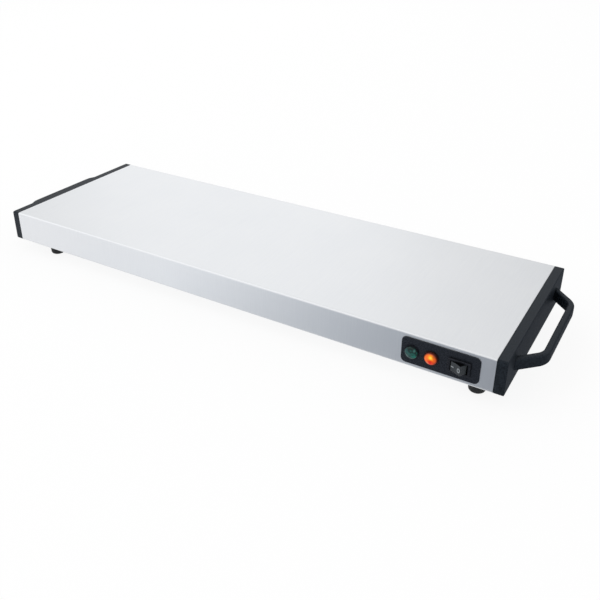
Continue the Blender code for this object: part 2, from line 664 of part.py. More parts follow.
def make_foot(place_name):
    """Rubber foot with a sunk screw that goes up through the base plate."""
    x, y = FOOT_PLACES[place_name]
    top = BASE_BOTTOM - SEAT_GAP
    low_radius = FOOT_RADIUS - FOOT_TAPER
    profile = [(SCREW_HOLE, top), (SCREW_HOLE, FOOT_SINK_DEPTH),
               (FOOT_SINK_RADIUS, FOOT_SINK_DEPTH), (FOOT_SINK_RADIUS, 0)]
    for i in range(ARC_STEPS + 1):
        turn = QUARTER * i / ARC_STEPS
        radius = low_radius - FOOT_EDGE * (1 - math.sin(turn))
        profile.append((radius, FOOT_EDGE * (1 - math.cos(turn))))
    profile.append((FOOT_RADIUS, top))
    foot = turned("foot_" + place_name, profile, RUBBER, ROUND_SIDES)
    foot.location = (x, y, 0)
    seat = (x, y, FOOT_SINK_DEPTH - SEAT_GAP)
    pan_screw("foot_screw_" + place_name, seat, "+Z",
              BASE_TOP - FOOT_SINK_DEPTH + SCREW_REACH, ZINC)


def tube(name, points, radius, material):
    """A round wire or tube along points, with closed ends."""
    curve = bpy.data.curves.new(name, "CURVE")
    curve.dimensions = "3D"
    curve.bevel_depth = radius
    curve.bevel_resolution = 2
    curve.use_fill_caps = True
    curve.materials.append(material)
    spline = curve.splines.new("POLY")
    spline.points.add(len(points) - 1)
    for target, point in zip(spline.points, points):
        target.co = (*point, 1.0)
    obj = bpy.data.objects.new(name, curve)
    bpy.context.collection.objects.link(obj)
    return obj


ELEMENT_RIGHT = SPREADER_RIGHT - ELEMENT_END_MARGIN
ELEMENT_LEFT = SPREADER_LEFT + ELEMENT_END_MARGIN
ELEMENT_FIRST_Y = -ELEMENT_PITCH * (ELEMENT_RUNS - 1) / 2
PIN_END = ELEMENT_RIGHT + SEAT_GAP + BEAD_LENGTH + PIN_LENGTH
PIN_ROWS = {"front": ELEMENT_FIRST_Y, "rear": -ELEMENT_FIRST_Y}


def element_points():
    """Middle line of the element: runs along X, joined by half rounds."""
    bend = ELEMENT_PITCH / 2
    points = [Vector((ELEMENT_RIGHT, ELEMENT_FIRST_Y, ELEMENT_LEVEL))]
    for run in range(ELEMENT_RUNS - 1):
        at_left = run % 2 == 0
        centre_x = ELEMENT_LEFT + bend if at_left else ELEMENT_RIGHT - bend * 2
        centre_y = ELEMENT_FIRST_Y + ELEMENT_PITCH * (run + 1 / 2)
        outward = -1 if at_left else 1
        for i in range(ELEMENT_BEND_STEPS + 1):
            turn = math.pi * i / ELEMENT_BEND_STEPS - QUARTER
            x = centre_x + outward * bend * math.cos(turn)
            points.append(Vector((x, centre_y + bend * math.sin(turn), ELEMENT_LEVEL)))
    points.append(Vector((ELEMENT_RIGHT, -ELEMENT_FIRST_Y, ELEMENT_LEVEL)))
    return points


def make_heating():
    """Spreader plate, bent tubular element, two clamp bars with nuts, and the mat below."""
    half_y = SPREADER_DEPTH / 2
    spreader = block("heat_spreader", (SPREADER_LEFT, -half_y, SPREADER_BOTTOM),
                     (SPREADER_RIGHT, half_y, SPREADER_TOP), ALUMINIUM)
    tube("heating_element", element_points(), ELEMENT_RADIUS, SHEATH)
    for number, x in enumerate(CLAMP_X, 1):
        outline = rectangle(CLAMP_WIDTH, CLAMP_LENGTH, CLAMP_WIDTH / 4, (x, 0.0))
        clamp = prism("element_clamp_" + str(number), outline, "Z", CLAMP_BOTTOM, CLAMP_TOP, ZINC)
        for row in ROWS:
            place = str(number) + "_" + row
            stud_x, stud_y = STUD_PLACES[place]
            drill(clamp, "clamp_hole_" + place, (stud_x, stud_y, CLAMP_BOTTOM), "+Z",
                  STUD_HOLE, CLAMP_SHEET + OVERRUN)
            drill(spreader, "spreader_hole_" + place, (stud_x, stud_y, SPREADER_BOTTOM), "+Z",
                  STUD_HOLE, SPREADER_THICKNESS + OVERRUN)
            hex_nut("clamp_nut_" + place, (stud_x, stud_y, NUT_TOP), "-Z", NUT_FLATS,
                    NUT_HEIGHT, STUD_HOLE, ZINC)
    profile = [(0, 0), (BEAD_RADIUS, 0), (BEAD_RADIUS, BEAD_LENGTH), (PIN_RADIUS, BEAD_LENGTH),
               (PIN_RADIUS, BEAD_LENGTH + PIN_LENGTH), (0, BEAD_LENGTH + PIN_LENGTH)]
    for row, y in PIN_ROWS.items():
        terminal = turned("element_terminal_" + row, profile, CERAMIC)
        aim(terminal, (ELEMENT_RIGHT + SEAT_GAP, y, ELEMENT_LEVEL), "+X")
    mat_half = REAR - MAT_SIDE_MARGIN
    mat_left = FOOT_PLACES["front_left"][0] + FOOT_RADIUS
    block("insulation_mat", (mat_left, -mat_half, FLOOR),
          (SPREADER_RIGHT, mat_half, FLOOR + MAT_THICKNESS), GLASS_FIBRE)


LANE_Y = ELEMENT_FIRST_Y + ELEMENT_PITCH / 2
THERMOSTAT_TOP = SPREADER_BOTTOM - SEAT_GAP
BLADE_LEVEL = THERMOSTAT_TOP - THERMOSTAT_HEIGHT + BLADE_THICKNESS
BLADE_END = THERMOSTAT_X + THERMOSTAT_RADIUS + BLADE_LENGTH
FUSE_Y = LANE_Y - FUSE_SHIFT
FUSE_Z = SPREADER_BOTTOM - SEAT_GAP - FUSE_RADIUS
FUSE_END = FUSE_LENGTH / 2 + FUSE_WIRE_LENGTH


def make_safety_parts():
    """Thermostat with two blades and thermal fuse with two wires, both under the spreader."""
    wide = THERMOSTAT_RADIUS + THERMOSTAT_FLANGE
    profile = [(0, 0), (wide, 0), (wide, THERMOSTAT_SHEET), (THERMOSTAT_RADIUS, THERMOSTAT_SHEET),
               (THERMOSTAT_RADIUS, THERMOSTAT_HEIGHT), (0, THERMOSTAT_HEIGHT)]
    thermostat = turned("thermostat", profile, PHENOLIC, ROUND_SIDES)
    aim(thermostat, (THERMOSTAT_X, LANE_Y, THERMOSTAT_TOP), "-Z")
    for row_name, row in ROWS.items():
        y = LANE_Y + row * BLADE_SPREAD
        half = BLADE_WIDTH / 2
        blade = block("thermostat_blade_" + row_name,
                      (THERMOSTAT_X, y - half, BLADE_LEVEL - BLADE_THICKNESS / 2),
                      (BLADE_END, y + half, BLADE_LEVEL + BLADE_THICKNESS / 2))
        join(thermostat, blade)
    half = FUSE_LENGTH / 2
    profile = [(0, -FUSE_END), (FUSE_WIRE_RADIUS, -FUSE_END), (FUSE_WIRE_RADIUS, -half),
               (FUSE_RADIUS, -half), (FUSE_RADIUS, half), (FUSE_WIRE_RADIUS, half),
               (FUSE_WIRE_RADIUS, FUSE_END), (0, FUSE_END)]
    aim(turned("thermal_fuse", profile, ZINC), (FUSE_X, FUSE_Y, FUSE_Z), "+X")


BLOCK_X = HALF_LENGTH - BLOCK_INSET
BLOCK_Y = REAR - BLOCK_SETBACK
BLOCK_FRONT = BLOCK_Y - BLOCK_DEPTH / 2
BLOCK_LEVEL = FLOOR + BLOCK_HEIGHT / 2


def block_way(number):
    """Middle of one way in the terminal block, counted from the left."""
    return BLOCK_X + (number - (BLOCK_WAYS - 1) / 2) * BLOCK_PITCH


def make_supply_parts():
    """Terminal block, earth screw with nut, and the gland with its nut."""
    half_x = BLOCK_PITCH * BLOCK_WAYS / 2
    terminal_block = block("terminal_block",
                           (BLOCK_X - half_x, BLOCK_FRONT, FLOOR),
                           (BLOCK_X + half_x, BLOCK_FRONT + BLOCK_DEPTH, FLOOR + BLOCK_HEIGHT),
                           CERAMIC)
    for number in range(BLOCK_WAYS):
        x = block_way(number)
        tag = "block_way_" + str(number)
        drill(terminal_block, tag + "_front", (x, BLOCK_FRONT, BLOCK_LEVEL), "+Y",
              BLOCK_WAY_RADIUS, BLOCK_WAY_DEPTH)
        drill(terminal_block, tag + "_rear", (x, BLOCK_FRONT + BLOCK_DEPTH, BLOCK_LEVEL), "-Y",
              BLOCK_WAY_RADIUS, BLOCK_WAY_DEPTH)
        drill(terminal_block, tag + "_screw", (x, BLOCK_Y, FLOOR + BLOCK_HEIGHT), "-Z",
              BLOCK_SCREW_RADIUS, BLOCK_HEIGHT / 4)
    earth = (HALF_LENGTH - EARTH_INSET, REAR - EARTH_SETBACK)
    pan_screw("earth_screw", (*earth, BASE_BOTTOM - SEAT_GAP), "+Z",
              FLOOR - BASE_BOTTOM + NUT_HEIGHT + SCREW_REACH, BRASS)
    hex_nut("earth_nut", (*earth, FLOOR), "+Z", NUT_FLATS, NUT_HEIGHT, SCREW_HOLE, BRASS)
    rim = GLAND_FLANGE_RADIUS
    profile = [(GLAND_BORE_RADIUS, -GLAND_DEPTH), (GLAND_BORE_RADIUS, GLAND_FLANGE),
               (rim - GLAND_EDGE, GLAND_FLANGE), (rim, GLAND_FLANGE - GLAND_EDGE), (rim, 0),
               (GLAND_BARREL_RADIUS, 0), (GLAND_BARREL_RADIUS, -GLAND_DEPTH)]
    gland = turned("cord_gland", profile, BLACK_PLASTIC, ROUND_SIDES)
    aim(gland, (GLAND_X, REAR + SEAT_GAP, BODY_MIDDLE), "+Y")
    hex_nut("gland_nut", (GLAND_X, REAR - COVER_SHEET - SEAT_GAP, BODY_MIDDLE), "-Y",
            GLAND_NUT_FLATS, GLAND_NUT_HEIGHT, GLAND_BARREL_RADIUS + SEAT_GAP, BLACK_PLASTIC)


BEZEL_BACK = PLATE_FACE - SEAT_GAP
BEZEL_FACE = BEZEL_BACK - BEZEL_THICKNESS
SWITCH_BACK = BEZEL_BACK + SWITCH_DEPTH
SWITCH_BLADE_END = SWITCH_BACK + BLADE_LENGTH
PIVOT_Y = BEZEL_FACE + ROCKER_PIVOT_DEPTH


def make_control_plate():
    """Moulded plate with a lip outside the apron, a plug in the window and four hooks."""
    rings = []
    for i in range(ARC_STEPS + 1):
        turn = QUARTER * i / ARC_STEPS
        inset = PLATE_EDGE * (1 - math.sin(turn))
        outline = rectangle(PLATE_WIDTH - inset * 2, PLATE_HEIGHT - inset * 2,
                            PLATE_RADIUS - inset, (PLATE_X, BODY_MIDDLE))
        level = PLATE_FACE + PLATE_EDGE * (1 - math.cos(turn))
        rings.append([axis_point("Y", u, v, level) for u, v in outline])
    outline = rectangle(PLATE_WIDTH, PLATE_HEIGHT, PLATE_RADIUS, (PLATE_X, BODY_MIDDLE))
    rings.append([axis_point("Y", u, v, FRONT - SEAT_GAP) for u, v in outline])
    plate = loft("control_plate", rings, PLATE_PLASTIC)
    plug_width = WINDOW_WIDTH - SEAT_GAP * 2
    plug_height = WINDOW_HEIGHT - SEAT_GAP * 2
    outline = rectangle(plug_width, plug_height, 0.0, (PLATE_X, BODY_MIDDLE))
    join(plate, prism("plate_plug", outline, "Y", FRONT - PLATE_PROUD / 2, PLATE_BACK))
    hook_front = FRONT + COVER_SHEET + SEAT_GAP
    for side_name, side in SIDES.items():
        x = PLATE_X + side * HOOK_SPREAD
        for row_name, row in ROWS.items():
            edge = BODY_MIDDLE + row * plug_height / 2
            low, high = sorted((edge - row * HOOK_HEIGHT, edge + row * HOOK_HEIGHT))
            hook = block("plate_hook_" + side_name + "_" + row_name,
                         (x - HOOK_LENGTH / 2, hook_front, low),
                         (x + HOOK_LENGTH / 2, PLATE_BACK - SEAT_GAP, high))
            join(plate, hook)
    opening = rectangle(SWITCH_WIDTH + SEAT_GAP * 2, SWITCH_HEIGHT + SEAT_GAP * 2, 0.0,
                        (SWITCH_X, SWITCH_Z))
    cut(plate, prism("switch_opening", opening, "Y", PLATE_FACE - OVERRUN, PLATE_BACK + OVERRUN))
    for colour, (x, _) in LAMPS.items():
        drill(plate, "lamp_hole_" + colour, (x, PLATE_FACE, LAMP_Z), "+Y",
              LAMP_BARREL_RADIUS + SEAT_GAP, PLATE_BACK - PLATE_FACE + OVERRUN, ROUND_SIDES)


def make_switch():
    """Switch housing with an open well and four blades."""
    bezel = rectangle(BEZEL_WIDTH, BEZEL_HEIGHT, BEZEL_RADIUS, (SWITCH_X, SWITCH_Z))
    switch = prism("switch_body", bezel, "Y", BEZEL_FACE, BEZEL_BACK, SWITCH_PLASTIC)
    housing = rectangle(SWITCH_WIDTH, SWITCH_HEIGHT, 0.0, (SWITCH_X, SWITCH_Z))
    join(switch, prism("switch_housing", housing, "Y", BEZEL_FACE + BEZEL_THICKNESS / 2,
                       SWITCH_BACK))
    well = rectangle(SWITCH_WELL_WIDTH, SWITCH_WELL_HEIGHT, 0.0, (SWITCH_X, SWITCH_Z))
    cut(switch, prism("switch_well", well, "Y", BEZEL_FACE - OVERRUN,
                      BEZEL_FACE + SWITCH_WELL_DEPTH))
    radius = ROCKER_PIN_RADIUS + SEAT_GAP
    reach = SWITCH_HEIGHT / 2 + BEZEL_LIP / 2
    pin_hole = turned("switch_pin_hole", [(0, -reach), (radius, -reach), (radius, reach),
                                          (0, reach)])
    cut(switch, aim(pin_hole, (SWITCH_X, PIVOT_Y, SWITCH_Z), "+Z"))
    for side_name, side in SIDES.items():
        for row_name, row in ROWS.items():
            x = SWITCH_X + side * SWITCH_BLADE_X
            z = SWITCH_Z + row * SWITCH_BLADE_Z
            blade = block("switch_blade_" + side_name + "_" + row_name,
                          (x - BLADE_WIDTH / 2, SWITCH_BACK - OVERRUN, z - BLADE_THICKNESS / 2),
                          (x + BLADE_WIDTH / 2, SWITCH_BLADE_END, z + BLADE_THICKNESS / 2))
            join(switch, blade)


def make_rocker():
    """Rocker with a shallow V face and drafted ends, pressed in at the left."""
    back_half = ROCKER_HALF + (ROCKER_REACH + ROCKER_BACK) * math.tan(ROCKER_DRAFT)
    middle_reach = ROCKER_REACH - ROCKER_HALF * math.tan(ROCKER_DIP)
    blend = ROCKER_HALF / 4
    face = round_corner((-ROCKER_HALF, -ROCKER_REACH), (0.0, -middle_reach),
                        (ROCKER_HALF, -ROCKER_REACH), blend / math.tan(ROCKER_DIP), ARC_STEPS)
    outline = [(x, y) for x, y in face]
    outline += [(ROCKER_HALF, -ROCKER_REACH), (back_half, ROCKER_BACK)]
    outline += [(-back_half, ROCKER_BACK), (-ROCKER_HALF, -ROCKER_REACH)]
    level = ROCKER_HEIGHT / 2
    rings = []
    for height, inset in ((-level, ROCKER_EDGE), (-level + ROCKER_EDGE, 0.0),
                          (level - ROCKER_EDGE, 0.0), (level, ROCKER_EDGE)):
        shrink = 1 - inset / ROCKER_SWEEP
        rings.append([Vector((x * shrink, y * shrink, height)) for x, y in outline])
    rocker = loft("switch_rocker", rings, SWITCH_PLASTIC)
    reach = SWITCH_HEIGHT / 2
    pin_profile = [(0, -reach), (ROCKER_PIN_RADIUS, -reach), (ROCKER_PIN_RADIUS, reach), (0, reach)]
    pins = turned("rocker_pins", pin_profile)
    pins.parent = rocker
    join(rocker, pins)
    rocker.location = (SWITCH_X, PIVOT_Y, SWITCH_Z)
    rocker.rotation_euler = (0, 0, -ROCKER_TILT)


def make_lamp(colour, x, lens_finish):
    """Lamp housing with a thin rim, its domed lens and the nut behind the plate."""
    flange_back = 0
    rim_top = LAMP_FLANGE + LAMP_RIM_HEIGHT
    bowl_radius = LAMP_RIM_RADIUS - LAMP_RIM_WALL
    barrel_end = -LAMP_BARREL_LENGTH
    tail_end = barrel_end - LAMP_TAIL_LENGTH
    profile = [(0, tail_end), (LAMP_TAIL_RADIUS, tail_end), (LAMP_TAIL_RADIUS, barrel_end),
               (LAMP_BARREL_RADIUS, barrel_end), (LAMP_BARREL_RADIUS, flange_back),
               (LAMP_RIM_RADIUS, flange_back), (LAMP_RIM_RADIUS, rim_top),
               (bowl_radius, rim_top), (bowl_radius, LAMP_FLANGE), (0, LAMP_FLANGE)]
    seat = PLATE_FACE - SEAT_GAP
    housing = turned("lamp_housing_" + colour, profile, SWITCH_PLASTIC, ROUND_SIDES)
    aim(housing, (x, seat, LAMP_Z), "-Y")
    lens_radius = bowl_radius - SEAT_GAP
    shoulder = LAMP_RIM_HEIGHT
    profile = [(0, 0), (lens_radius, 0)]
    for i in range(LENS_STEPS):
        turn = QUARTER * i / LENS_STEPS
        profile.append((lens_radius * math.cos(turn), shoulder + LENS_CROWN * math.sin(turn)))
    profile.append((0, shoulder + LENS_CROWN))
    lens = turned("lamp_lens_" + colour, profile, lens_finish, ROUND_SIDES)
    aim(lens, (x, seat - LAMP_FLANGE - SEAT_GAP, LAMP_Z), "-Y")
    hex_nut("lamp_nut_" + colour, (x, PLATE_BACK + SEAT_GAP, LAMP_Z), "+Y", LAMP_NUT_FLATS,
            LAMP_NUT_HEIGHT, LAMP_BARREL_RADIUS + SEAT_GAP, ZINC)


def lead(name, start, start_aim, end, end_aim, pull, material):
    """A wire on one smooth curve that leaves its start and enters its end squarely."""
    start, end = Vector(start), Vector(end)
    first = start + Vector(start_aim) * SEAT_GAP
    last = end - Vector(end_aim) * SEAT_GAP
    out = first + Vector(start_aim) * pull
    back = last - Vector(end_aim) * pull
    points = []
    for i in range(LEAD_STEPS + 1):
        t = i / LEAD_STEPS
        s = 1 - t
        points.append(first * s ** 3 + out * 3 * s * s * t + back * 3 * s * t * t + last * t ** 3)
    tube(name, points, LEAD_RADIUS, material)


def make_leads():
    """Six inner leads: supply to switch, switch to thermostat, fuse and element."""
    left = SWITCH_X - SWITCH_BLADE_X
    right = SWITCH_X + SWITCH_BLADE_X
    low = SWITCH_Z - SWITCH_BLADE_Z
    high = SWITCH_Z + SWITCH_BLADE_Z
    to_front, to_rear = (0, -1, 0), (0, 1, 0)
    to_left, to_right = (-1, 0, 0), (1, 0, 0)
    lead("lead_supply_live", (block_way(1), BLOCK_FRONT, BLOCK_LEVEL), to_front,
         (left, SWITCH_BLADE_END, low), to_front, LEAD_PULL, LIVE_SLEEVE)
    lead("lead_supply_neutral", (block_way(2), BLOCK_FRONT, BLOCK_LEVEL), to_front,
         (right, SWITCH_BLADE_END, low), to_front, LEAD_PULL, NEUTRAL_SLEEVE)
    lead("lead_switch_to_thermostat", (left, SWITCH_BLADE_END, high), to_rear,
         (BLADE_END, LANE_Y + BLADE_SPREAD, BLADE_LEVEL), to_left, LEAD_PULL, HEAT_SLEEVE)
    lead("lead_thermostat_to_fuse", (BLADE_END, LANE_Y - BLADE_SPREAD, BLADE_LEVEL), to_right,
         (FUSE_X - FUSE_END, FUSE_Y, FUSE_Z), to_right, LEAD_PULL / 4, HEAT_SLEEVE)
    lead("lead_fuse_to_element", (FUSE_X + FUSE_END, FUSE_Y, FUSE_Z), to_right,
         (PIN_END, PIN_ROWS["front"], ELEMENT_LEVEL), to_left, LEAD_LOOP, HEAT_SLEEVE)
    lead("lead_switch_to_element", (right, SWITCH_BLADE_END, high), to_rear,
         (PIN_END, PIN_ROWS["rear"], ELEMENT_LEVEL), to_left, LEAD_PULL, HEAT_SLEEVE)


def build():
    make_cover()
    make_base()
    for side_name in SIDES:
        make_cap(side_name)
        make_handle(side_name)
    for place_name in FOOT_PLACES:
        make_foot(place_name)
    make_heating()
    make_safety_parts()
    make_supply_parts()
    make_control_plate()
    make_switch()
    make_rocker()
    for colour, (x, lens_finish) in LAMPS.items():
        make_lamp(colour, x, lens_finish)
    make_leads()


build()
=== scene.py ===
# %% [markdown]
# # Electric food warmer tray
# The real thing is a low flat tray, about 67 cm long with its handles. A folded steel sheet is the
# warm top, black plastic caps close its ends, and a plate with two lamps and a rocker switch sits
# at the right of its front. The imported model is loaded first, because every piece is built round
# its solids: +X is right, +Y is away from the controls, the table is z = 0.

# %% Load the frame
import json
import math

import bmesh
import bpy
from mathutils import Matrix, Vector


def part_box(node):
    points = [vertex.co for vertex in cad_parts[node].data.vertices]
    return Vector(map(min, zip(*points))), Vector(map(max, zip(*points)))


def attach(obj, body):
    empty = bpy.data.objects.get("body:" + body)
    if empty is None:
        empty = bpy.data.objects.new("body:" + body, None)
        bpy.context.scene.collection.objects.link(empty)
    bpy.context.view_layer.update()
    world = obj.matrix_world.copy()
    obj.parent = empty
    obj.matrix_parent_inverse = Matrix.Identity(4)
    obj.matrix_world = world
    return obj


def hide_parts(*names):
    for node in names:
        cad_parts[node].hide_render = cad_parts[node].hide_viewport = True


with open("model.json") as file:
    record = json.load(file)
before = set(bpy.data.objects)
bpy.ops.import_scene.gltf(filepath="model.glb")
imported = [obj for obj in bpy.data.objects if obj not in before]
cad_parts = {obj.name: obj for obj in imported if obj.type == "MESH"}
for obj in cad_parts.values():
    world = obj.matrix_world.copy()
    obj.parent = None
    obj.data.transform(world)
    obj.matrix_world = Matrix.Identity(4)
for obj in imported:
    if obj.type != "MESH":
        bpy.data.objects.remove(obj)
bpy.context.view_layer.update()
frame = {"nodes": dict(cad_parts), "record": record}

MM = 0.001


def centre_of(node):
    """The middle of a CAD node's box."""
    low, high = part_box(node)
    return (low + high) / 2


def size_of(node):
    """The sides of a CAD node's box."""
    low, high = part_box(node)
    return high - low


print("cover", [round(side / MM, 1) for side in size_of("top_cover")], "mm")

# %% [markdown]
# ## Camera
# The camera stands in front of the tray, to the right and above. It could be aimed with a
# constraint, but its angles were worked out from the corners of the tray, so they go into its
# matrix as three turns. The lens points a little above the middle of the picture, which is what
# the vertical shift is for.

# %% Camera
CAMERA_PLACE = Vector((0.42064, -0.63931, 0.41852))
CAMERA_TURN = math.radians(30.60)  # to the left of straight ahead
CAMERA_DIP = math.radians(26.60)  # below the horizon
CAMERA_ROLL = math.radians(0.34)
CAMERA_LENS = 44.25  # mm, on a sensor 36 mm wide
LENS_RISE = 50 / 600  # part of the picture's height

camera = bpy.data.objects.new("camera", bpy.data.cameras.new("camera"))
bpy.context.collection.objects.link(camera)
camera.matrix_world = (Matrix.Translation(CAMERA_PLACE) @ Matrix.Rotation(CAMERA_TURN, 4, "Z")
                       @ Matrix.Rotation(math.pi / 2 - CAMERA_DIP, 4, "X")
                       @ Matrix.Rotation(CAMERA_ROLL, 4, "Z"))
camera.data.lens = CAMERA_LENS
camera.data.shift_y = -LENS_RISE
bpy.context.scene.camera = camera
bpy.context.scene.view_settings.view_transform = "Standard"
print("camera looks along", [round(-c, 3) for c in camera.matrix_world.col[2].xyz])

# %% [markdown]
# ## Materials
# Each finish is named for what it is and how it was made. A material is one Principled shader fed
# by noise nodes, because noise can be given a real size: a brushed line, a moulded grain and a
# spangle of zinc differ mostly in how wide and long they are. Colours are written as they look on
# a screen, and one function turns them into the linear values that Blender mixes.

# %% Colour, scale and node helpers
def linear(hex_colour):
    """Linear RGBA from an sRGB hex colour such as #d8dadc."""
    channels = [int(hex_colour[i:i + 2], 16) / 255 for i in (1, 3, 5)]
    return [c / 12.92 if c <= 0.04045 else ((c + 0.055) / 1.055) ** 2.4 for c in channels] + [1.0]


def repeats(size):
    """How often a pattern of that size in millimetres repeats in a metre."""
    return 1 / (size * MM)


def add_node(material, kind, inputs=(), **settings):
    """Adds a node. Inputs are (socket, value) pairs, where a value may be another node's output."""
    made = material.node_tree.nodes.new(kind)
    for name, value in settings.items():
        setattr(made, name, value)
    for socket, value in inputs:
        if isinstance(value, bpy.types.NodeSocket):
            material.node_tree.links.new(value, made.inputs[socket])
        else:
            made.inputs[socket].default_value = value
    return made


def new_material(name, inputs):
    """A material with one Principled shader, and that shader with these sockets set."""
    material = bpy.data.materials.new(name)
    material.use_nodes = True
    shader = material.node_tree.nodes["Principled BSDF"]
    for socket, value in inputs:
        shader.inputs[socket].default_value = value
    return material, shader


def grain(material, size, detail=2.0, stretch=(1.0, 1.0, 1.0)):
    """Noise with features of that size in mm, stretched along the axes by these factors."""
    place = add_node(material, "ShaderNodeTexCoord")
    scale = [repeats(size * s) for s in stretch]
    mapped = add_node(material, "ShaderNodeMapping",
                      [("Vector", place.outputs["Object"]), ("Scale", scale)])
    noise = add_node(material, "ShaderNodeTexNoise",
                     [("Vector", mapped.outputs["Vector"]), ("Scale", 1.0), ("Detail", detail)])
    return noise.outputs["Fac"]


def between(material, factor, low, high, spread=(0.3, 0.7)):
    """A number that goes from low to high as the noise goes over its spread."""
    ranged = add_node(material, "ShaderNodeMapRange",
                      [("Value", factor), ("From Min", spread[0]), ("From Max", spread[1]),
                       ("To Min", low), ("To Max", high)])
    return ranged.outputs["Result"]


def shades(material, factor, stops):
    """A colour that runs through (position, hex colour) stops."""
    ramp = add_node(material, "ShaderNodeValToRGB", [("Fac", factor)])
    while len(ramp.color_ramp.elements) < len(stops):
        ramp.color_ramp.elements.new(0.5)
    for element, (position, colour) in zip(ramp.color_ramp.elements, stops):
        element.position = position
        element.color = linear(colour)
    return ramp.outputs["Color"]


def tint(material, factor, dark, light):
    """A colour between two hex colours."""
    return shades(material, factor, [(0.3, dark), (0.7, light)])


def blend(material, share, first, second):
    """Two colours mixed, with the share of the second one a number or a node's output."""
    mixed = add_node(material, "ShaderNodeMixRGB",
                     [("Fac", share), ("Color1", first), ("Color2", second)])
    return mixed.outputs["Color"]


def relief(material, height, depth, strength):
    """A bump normal from a height that goes from 0 to 1 over that depth in mm."""
    inputs = [("Height", height), ("Distance", depth * MM), ("Strength", strength)]
    return add_node(material, "ShaderNodeBump", inputs).outputs["Normal"]


def wire(material, shader, **sockets):
    """Links sockets of a shader to node outputs."""
    for name, output in sockets.items():
        material.node_tree.links.new(output, shader.inputs[name.replace("_", " ")])


def worked(name, inputs, marks_of, shades_of_it, roughness, depth, strength):
    """A finish with one pattern: marks_of gives its size in mm, detail and stretch, and the same
    pattern drives the colour between two shades, the roughness and the relief."""
    material, shader = new_material(name, inputs)
    marks = grain(material, *marks_of)
    wire(material, shader, Base_Color=tint(material, marks, *shades_of_it),
         Roughness=between(material, marks, *roughness),
         Normal=relief(material, marks, depth, strength))
    return material


print("one metre holds", round(repeats(0.5)), "grains of half a millimetre")

# %% [markdown]
# ### Brushed stainless steel
# The cover is 0.8 mm stainless sheet, brushed across its length with an abrasive belt. What the eye
# gets is a pale satin grey that blurs what it mirrors, with hair-thin lines across the tray. An
# image of them would repeat, so a noise is squeezed to a third of a millimetre along X and drawn
# out to 3 cm the other way. The real lines are finer still, but would vanish in the picture.

# %% Brushed stainless steel
BRUSH_WIDTH = 0.35  # mm across a line, drawn coarser than the real tenth
BRUSH_LENGTH = 90  # how many widths a line is long
SMEAR_SIZE = 60  # mm, soft patches left by wiping
SMEAR_SHARE = 0.25  # how much of the colour they give

steel, shader = new_material("brushed_stainless_steel", [("Metallic", 1.0)])
lines = grain(steel, BRUSH_WIDTH, 3.0, (1.0, BRUSH_LENGTH, BRUSH_LENGTH))
smears = grain(steel, SMEAR_SIZE, 1.0)
shade = blend(steel, SMEAR_SHARE, tint(steel, lines, "#d8dadd", "#dfe1e3"),
              tint(steel, smears, "#d9dbde", "#dfe0e2"))
wire(steel, shader, Base_Color=shade,
     Roughness=between(steel, lines, 0.36, 0.43),
     Normal=relief(steel, lines, 0.006, 0.4))
print("brush lines", BRUSH_WIDTH, "mm wide and", round(BRUSH_WIDTH * BRUSH_LENGTH), "mm long")

# %% [markdown]
# ### Black ABS and the other moulded plastics
# Caps, handles and the cord gland are moulded in black ABS with a spark-eroded grain, which turns
# the gloss of the plastic into a soft grey sheen. The control plate is smoother and the switch
# smoother again. All have no metal, an IOR near 1.5 and are nearly black inside, so what shows is
# mostly their sheen. The rim of the lit lamp is painted brown, as painted light from its lens.

# %% Moulded plastics
PLASTIC_IOR = 1.53  # ABS and nylon alike
GRAIN_SIZE = 1.2  # mm, drawn coarser than the real 0.2
PLASTIC_TINGE = "#e6eeff"  # their gloss is faintly blue


def moulded_plastic(name, dark, light, roughness, grain_depth, sheen):
    """A plastic as it leaves a textured mould. The sheen is its specular level, low where a deep
    grain shades its own gloss."""
    inputs = [("IOR", PLASTIC_IOR), ("Specular IOR Level", sheen),
              ("Specular Tint", linear(PLASTIC_TINGE))]
    return worked(name, inputs, (GRAIN_SIZE, 3.0), (dark, light), roughness, grain_depth, 0.6)


black_abs = moulded_plastic("moulded_black_abs", "#0d1115", "#242b32", (0.42, 0.56), 0.09, 0.15)
plate_abs = moulded_plastic("satin_control_plate_abs", "#181b20", "#202329", (0.22, 0.32), 0.01,
                            0.25)
switch_nylon = moulded_plastic("smooth_switch_nylon", "#16171b", "#1f2025", (0.22, 0.32), 0.004,
                               0.27)
# Painted shade: a near-black, smoother copy of the switch nylon for the rocker's upper and lower
# sides.
polished_nylon_painted_shade = moulded_plastic("polished_switch_nylon_painted_shade", "#050506", "#08090a", (0.1, 0.16), 0.0,
                                 0.12)
# Painted light: the orange lamp's rim is coloured brown for the glow of its lens.
rim_nylon_painted_glow = moulded_plastic("lamp_rim_nylon_painted_glow", "#2c120b", "#3c1a0f", (0.22, 0.32), 0.004, 0.27)
rocker_nylon = moulded_plastic("satin_rocker_nylon", "#2a2d30", "#434749", (0.4, 0.5), 0.03, 0.25)
mark_ink = moulded_plastic("pad_printed_grey_ink", "#9aa1a5", "#aeb4b8", (0.45, 0.6), 0.004, 0.27)
print("plastics", len(bpy.data.materials) - 1)

# %% [markdown]
# ### Lamp lenses
# A signal lamp's lens is a small moulded dome of tinted polycarbonate, with facets on its inside
# that break up the light of the neon behind it. Real refraction in a dome of 12 mm is noisy and
# hard to steer, so the inside is painted instead: facets come from a Voronoi bump under a clear
# coat, and the same Voronoi shades each facet's colour as painted light. Round patches of colour
# fade out from a point of the lens. The orange lens gives off light, yellow in front of the neon,
# red below it and dark brown at its rim, with painted reflections of the pale floor at its left
# and painted shade at its right. The green one is unlit: its deep top is painted shade, and its
# haze at the lower left and a glint at its upper right are painted reflections.

# %% Lamp lenses
POLYCARBONATE_IOR = 1.585
FACET_SIZE = 2.6  # mm
LENS_SHEEN = 0.22  # specular level, low because facets scatter the gloss
LENS_COAT = 0.12
PATCH_HEART = 0.25  # the part of a patch's reach that has its full colour
FRONT_PLANE = Vector((1, 0, 1))


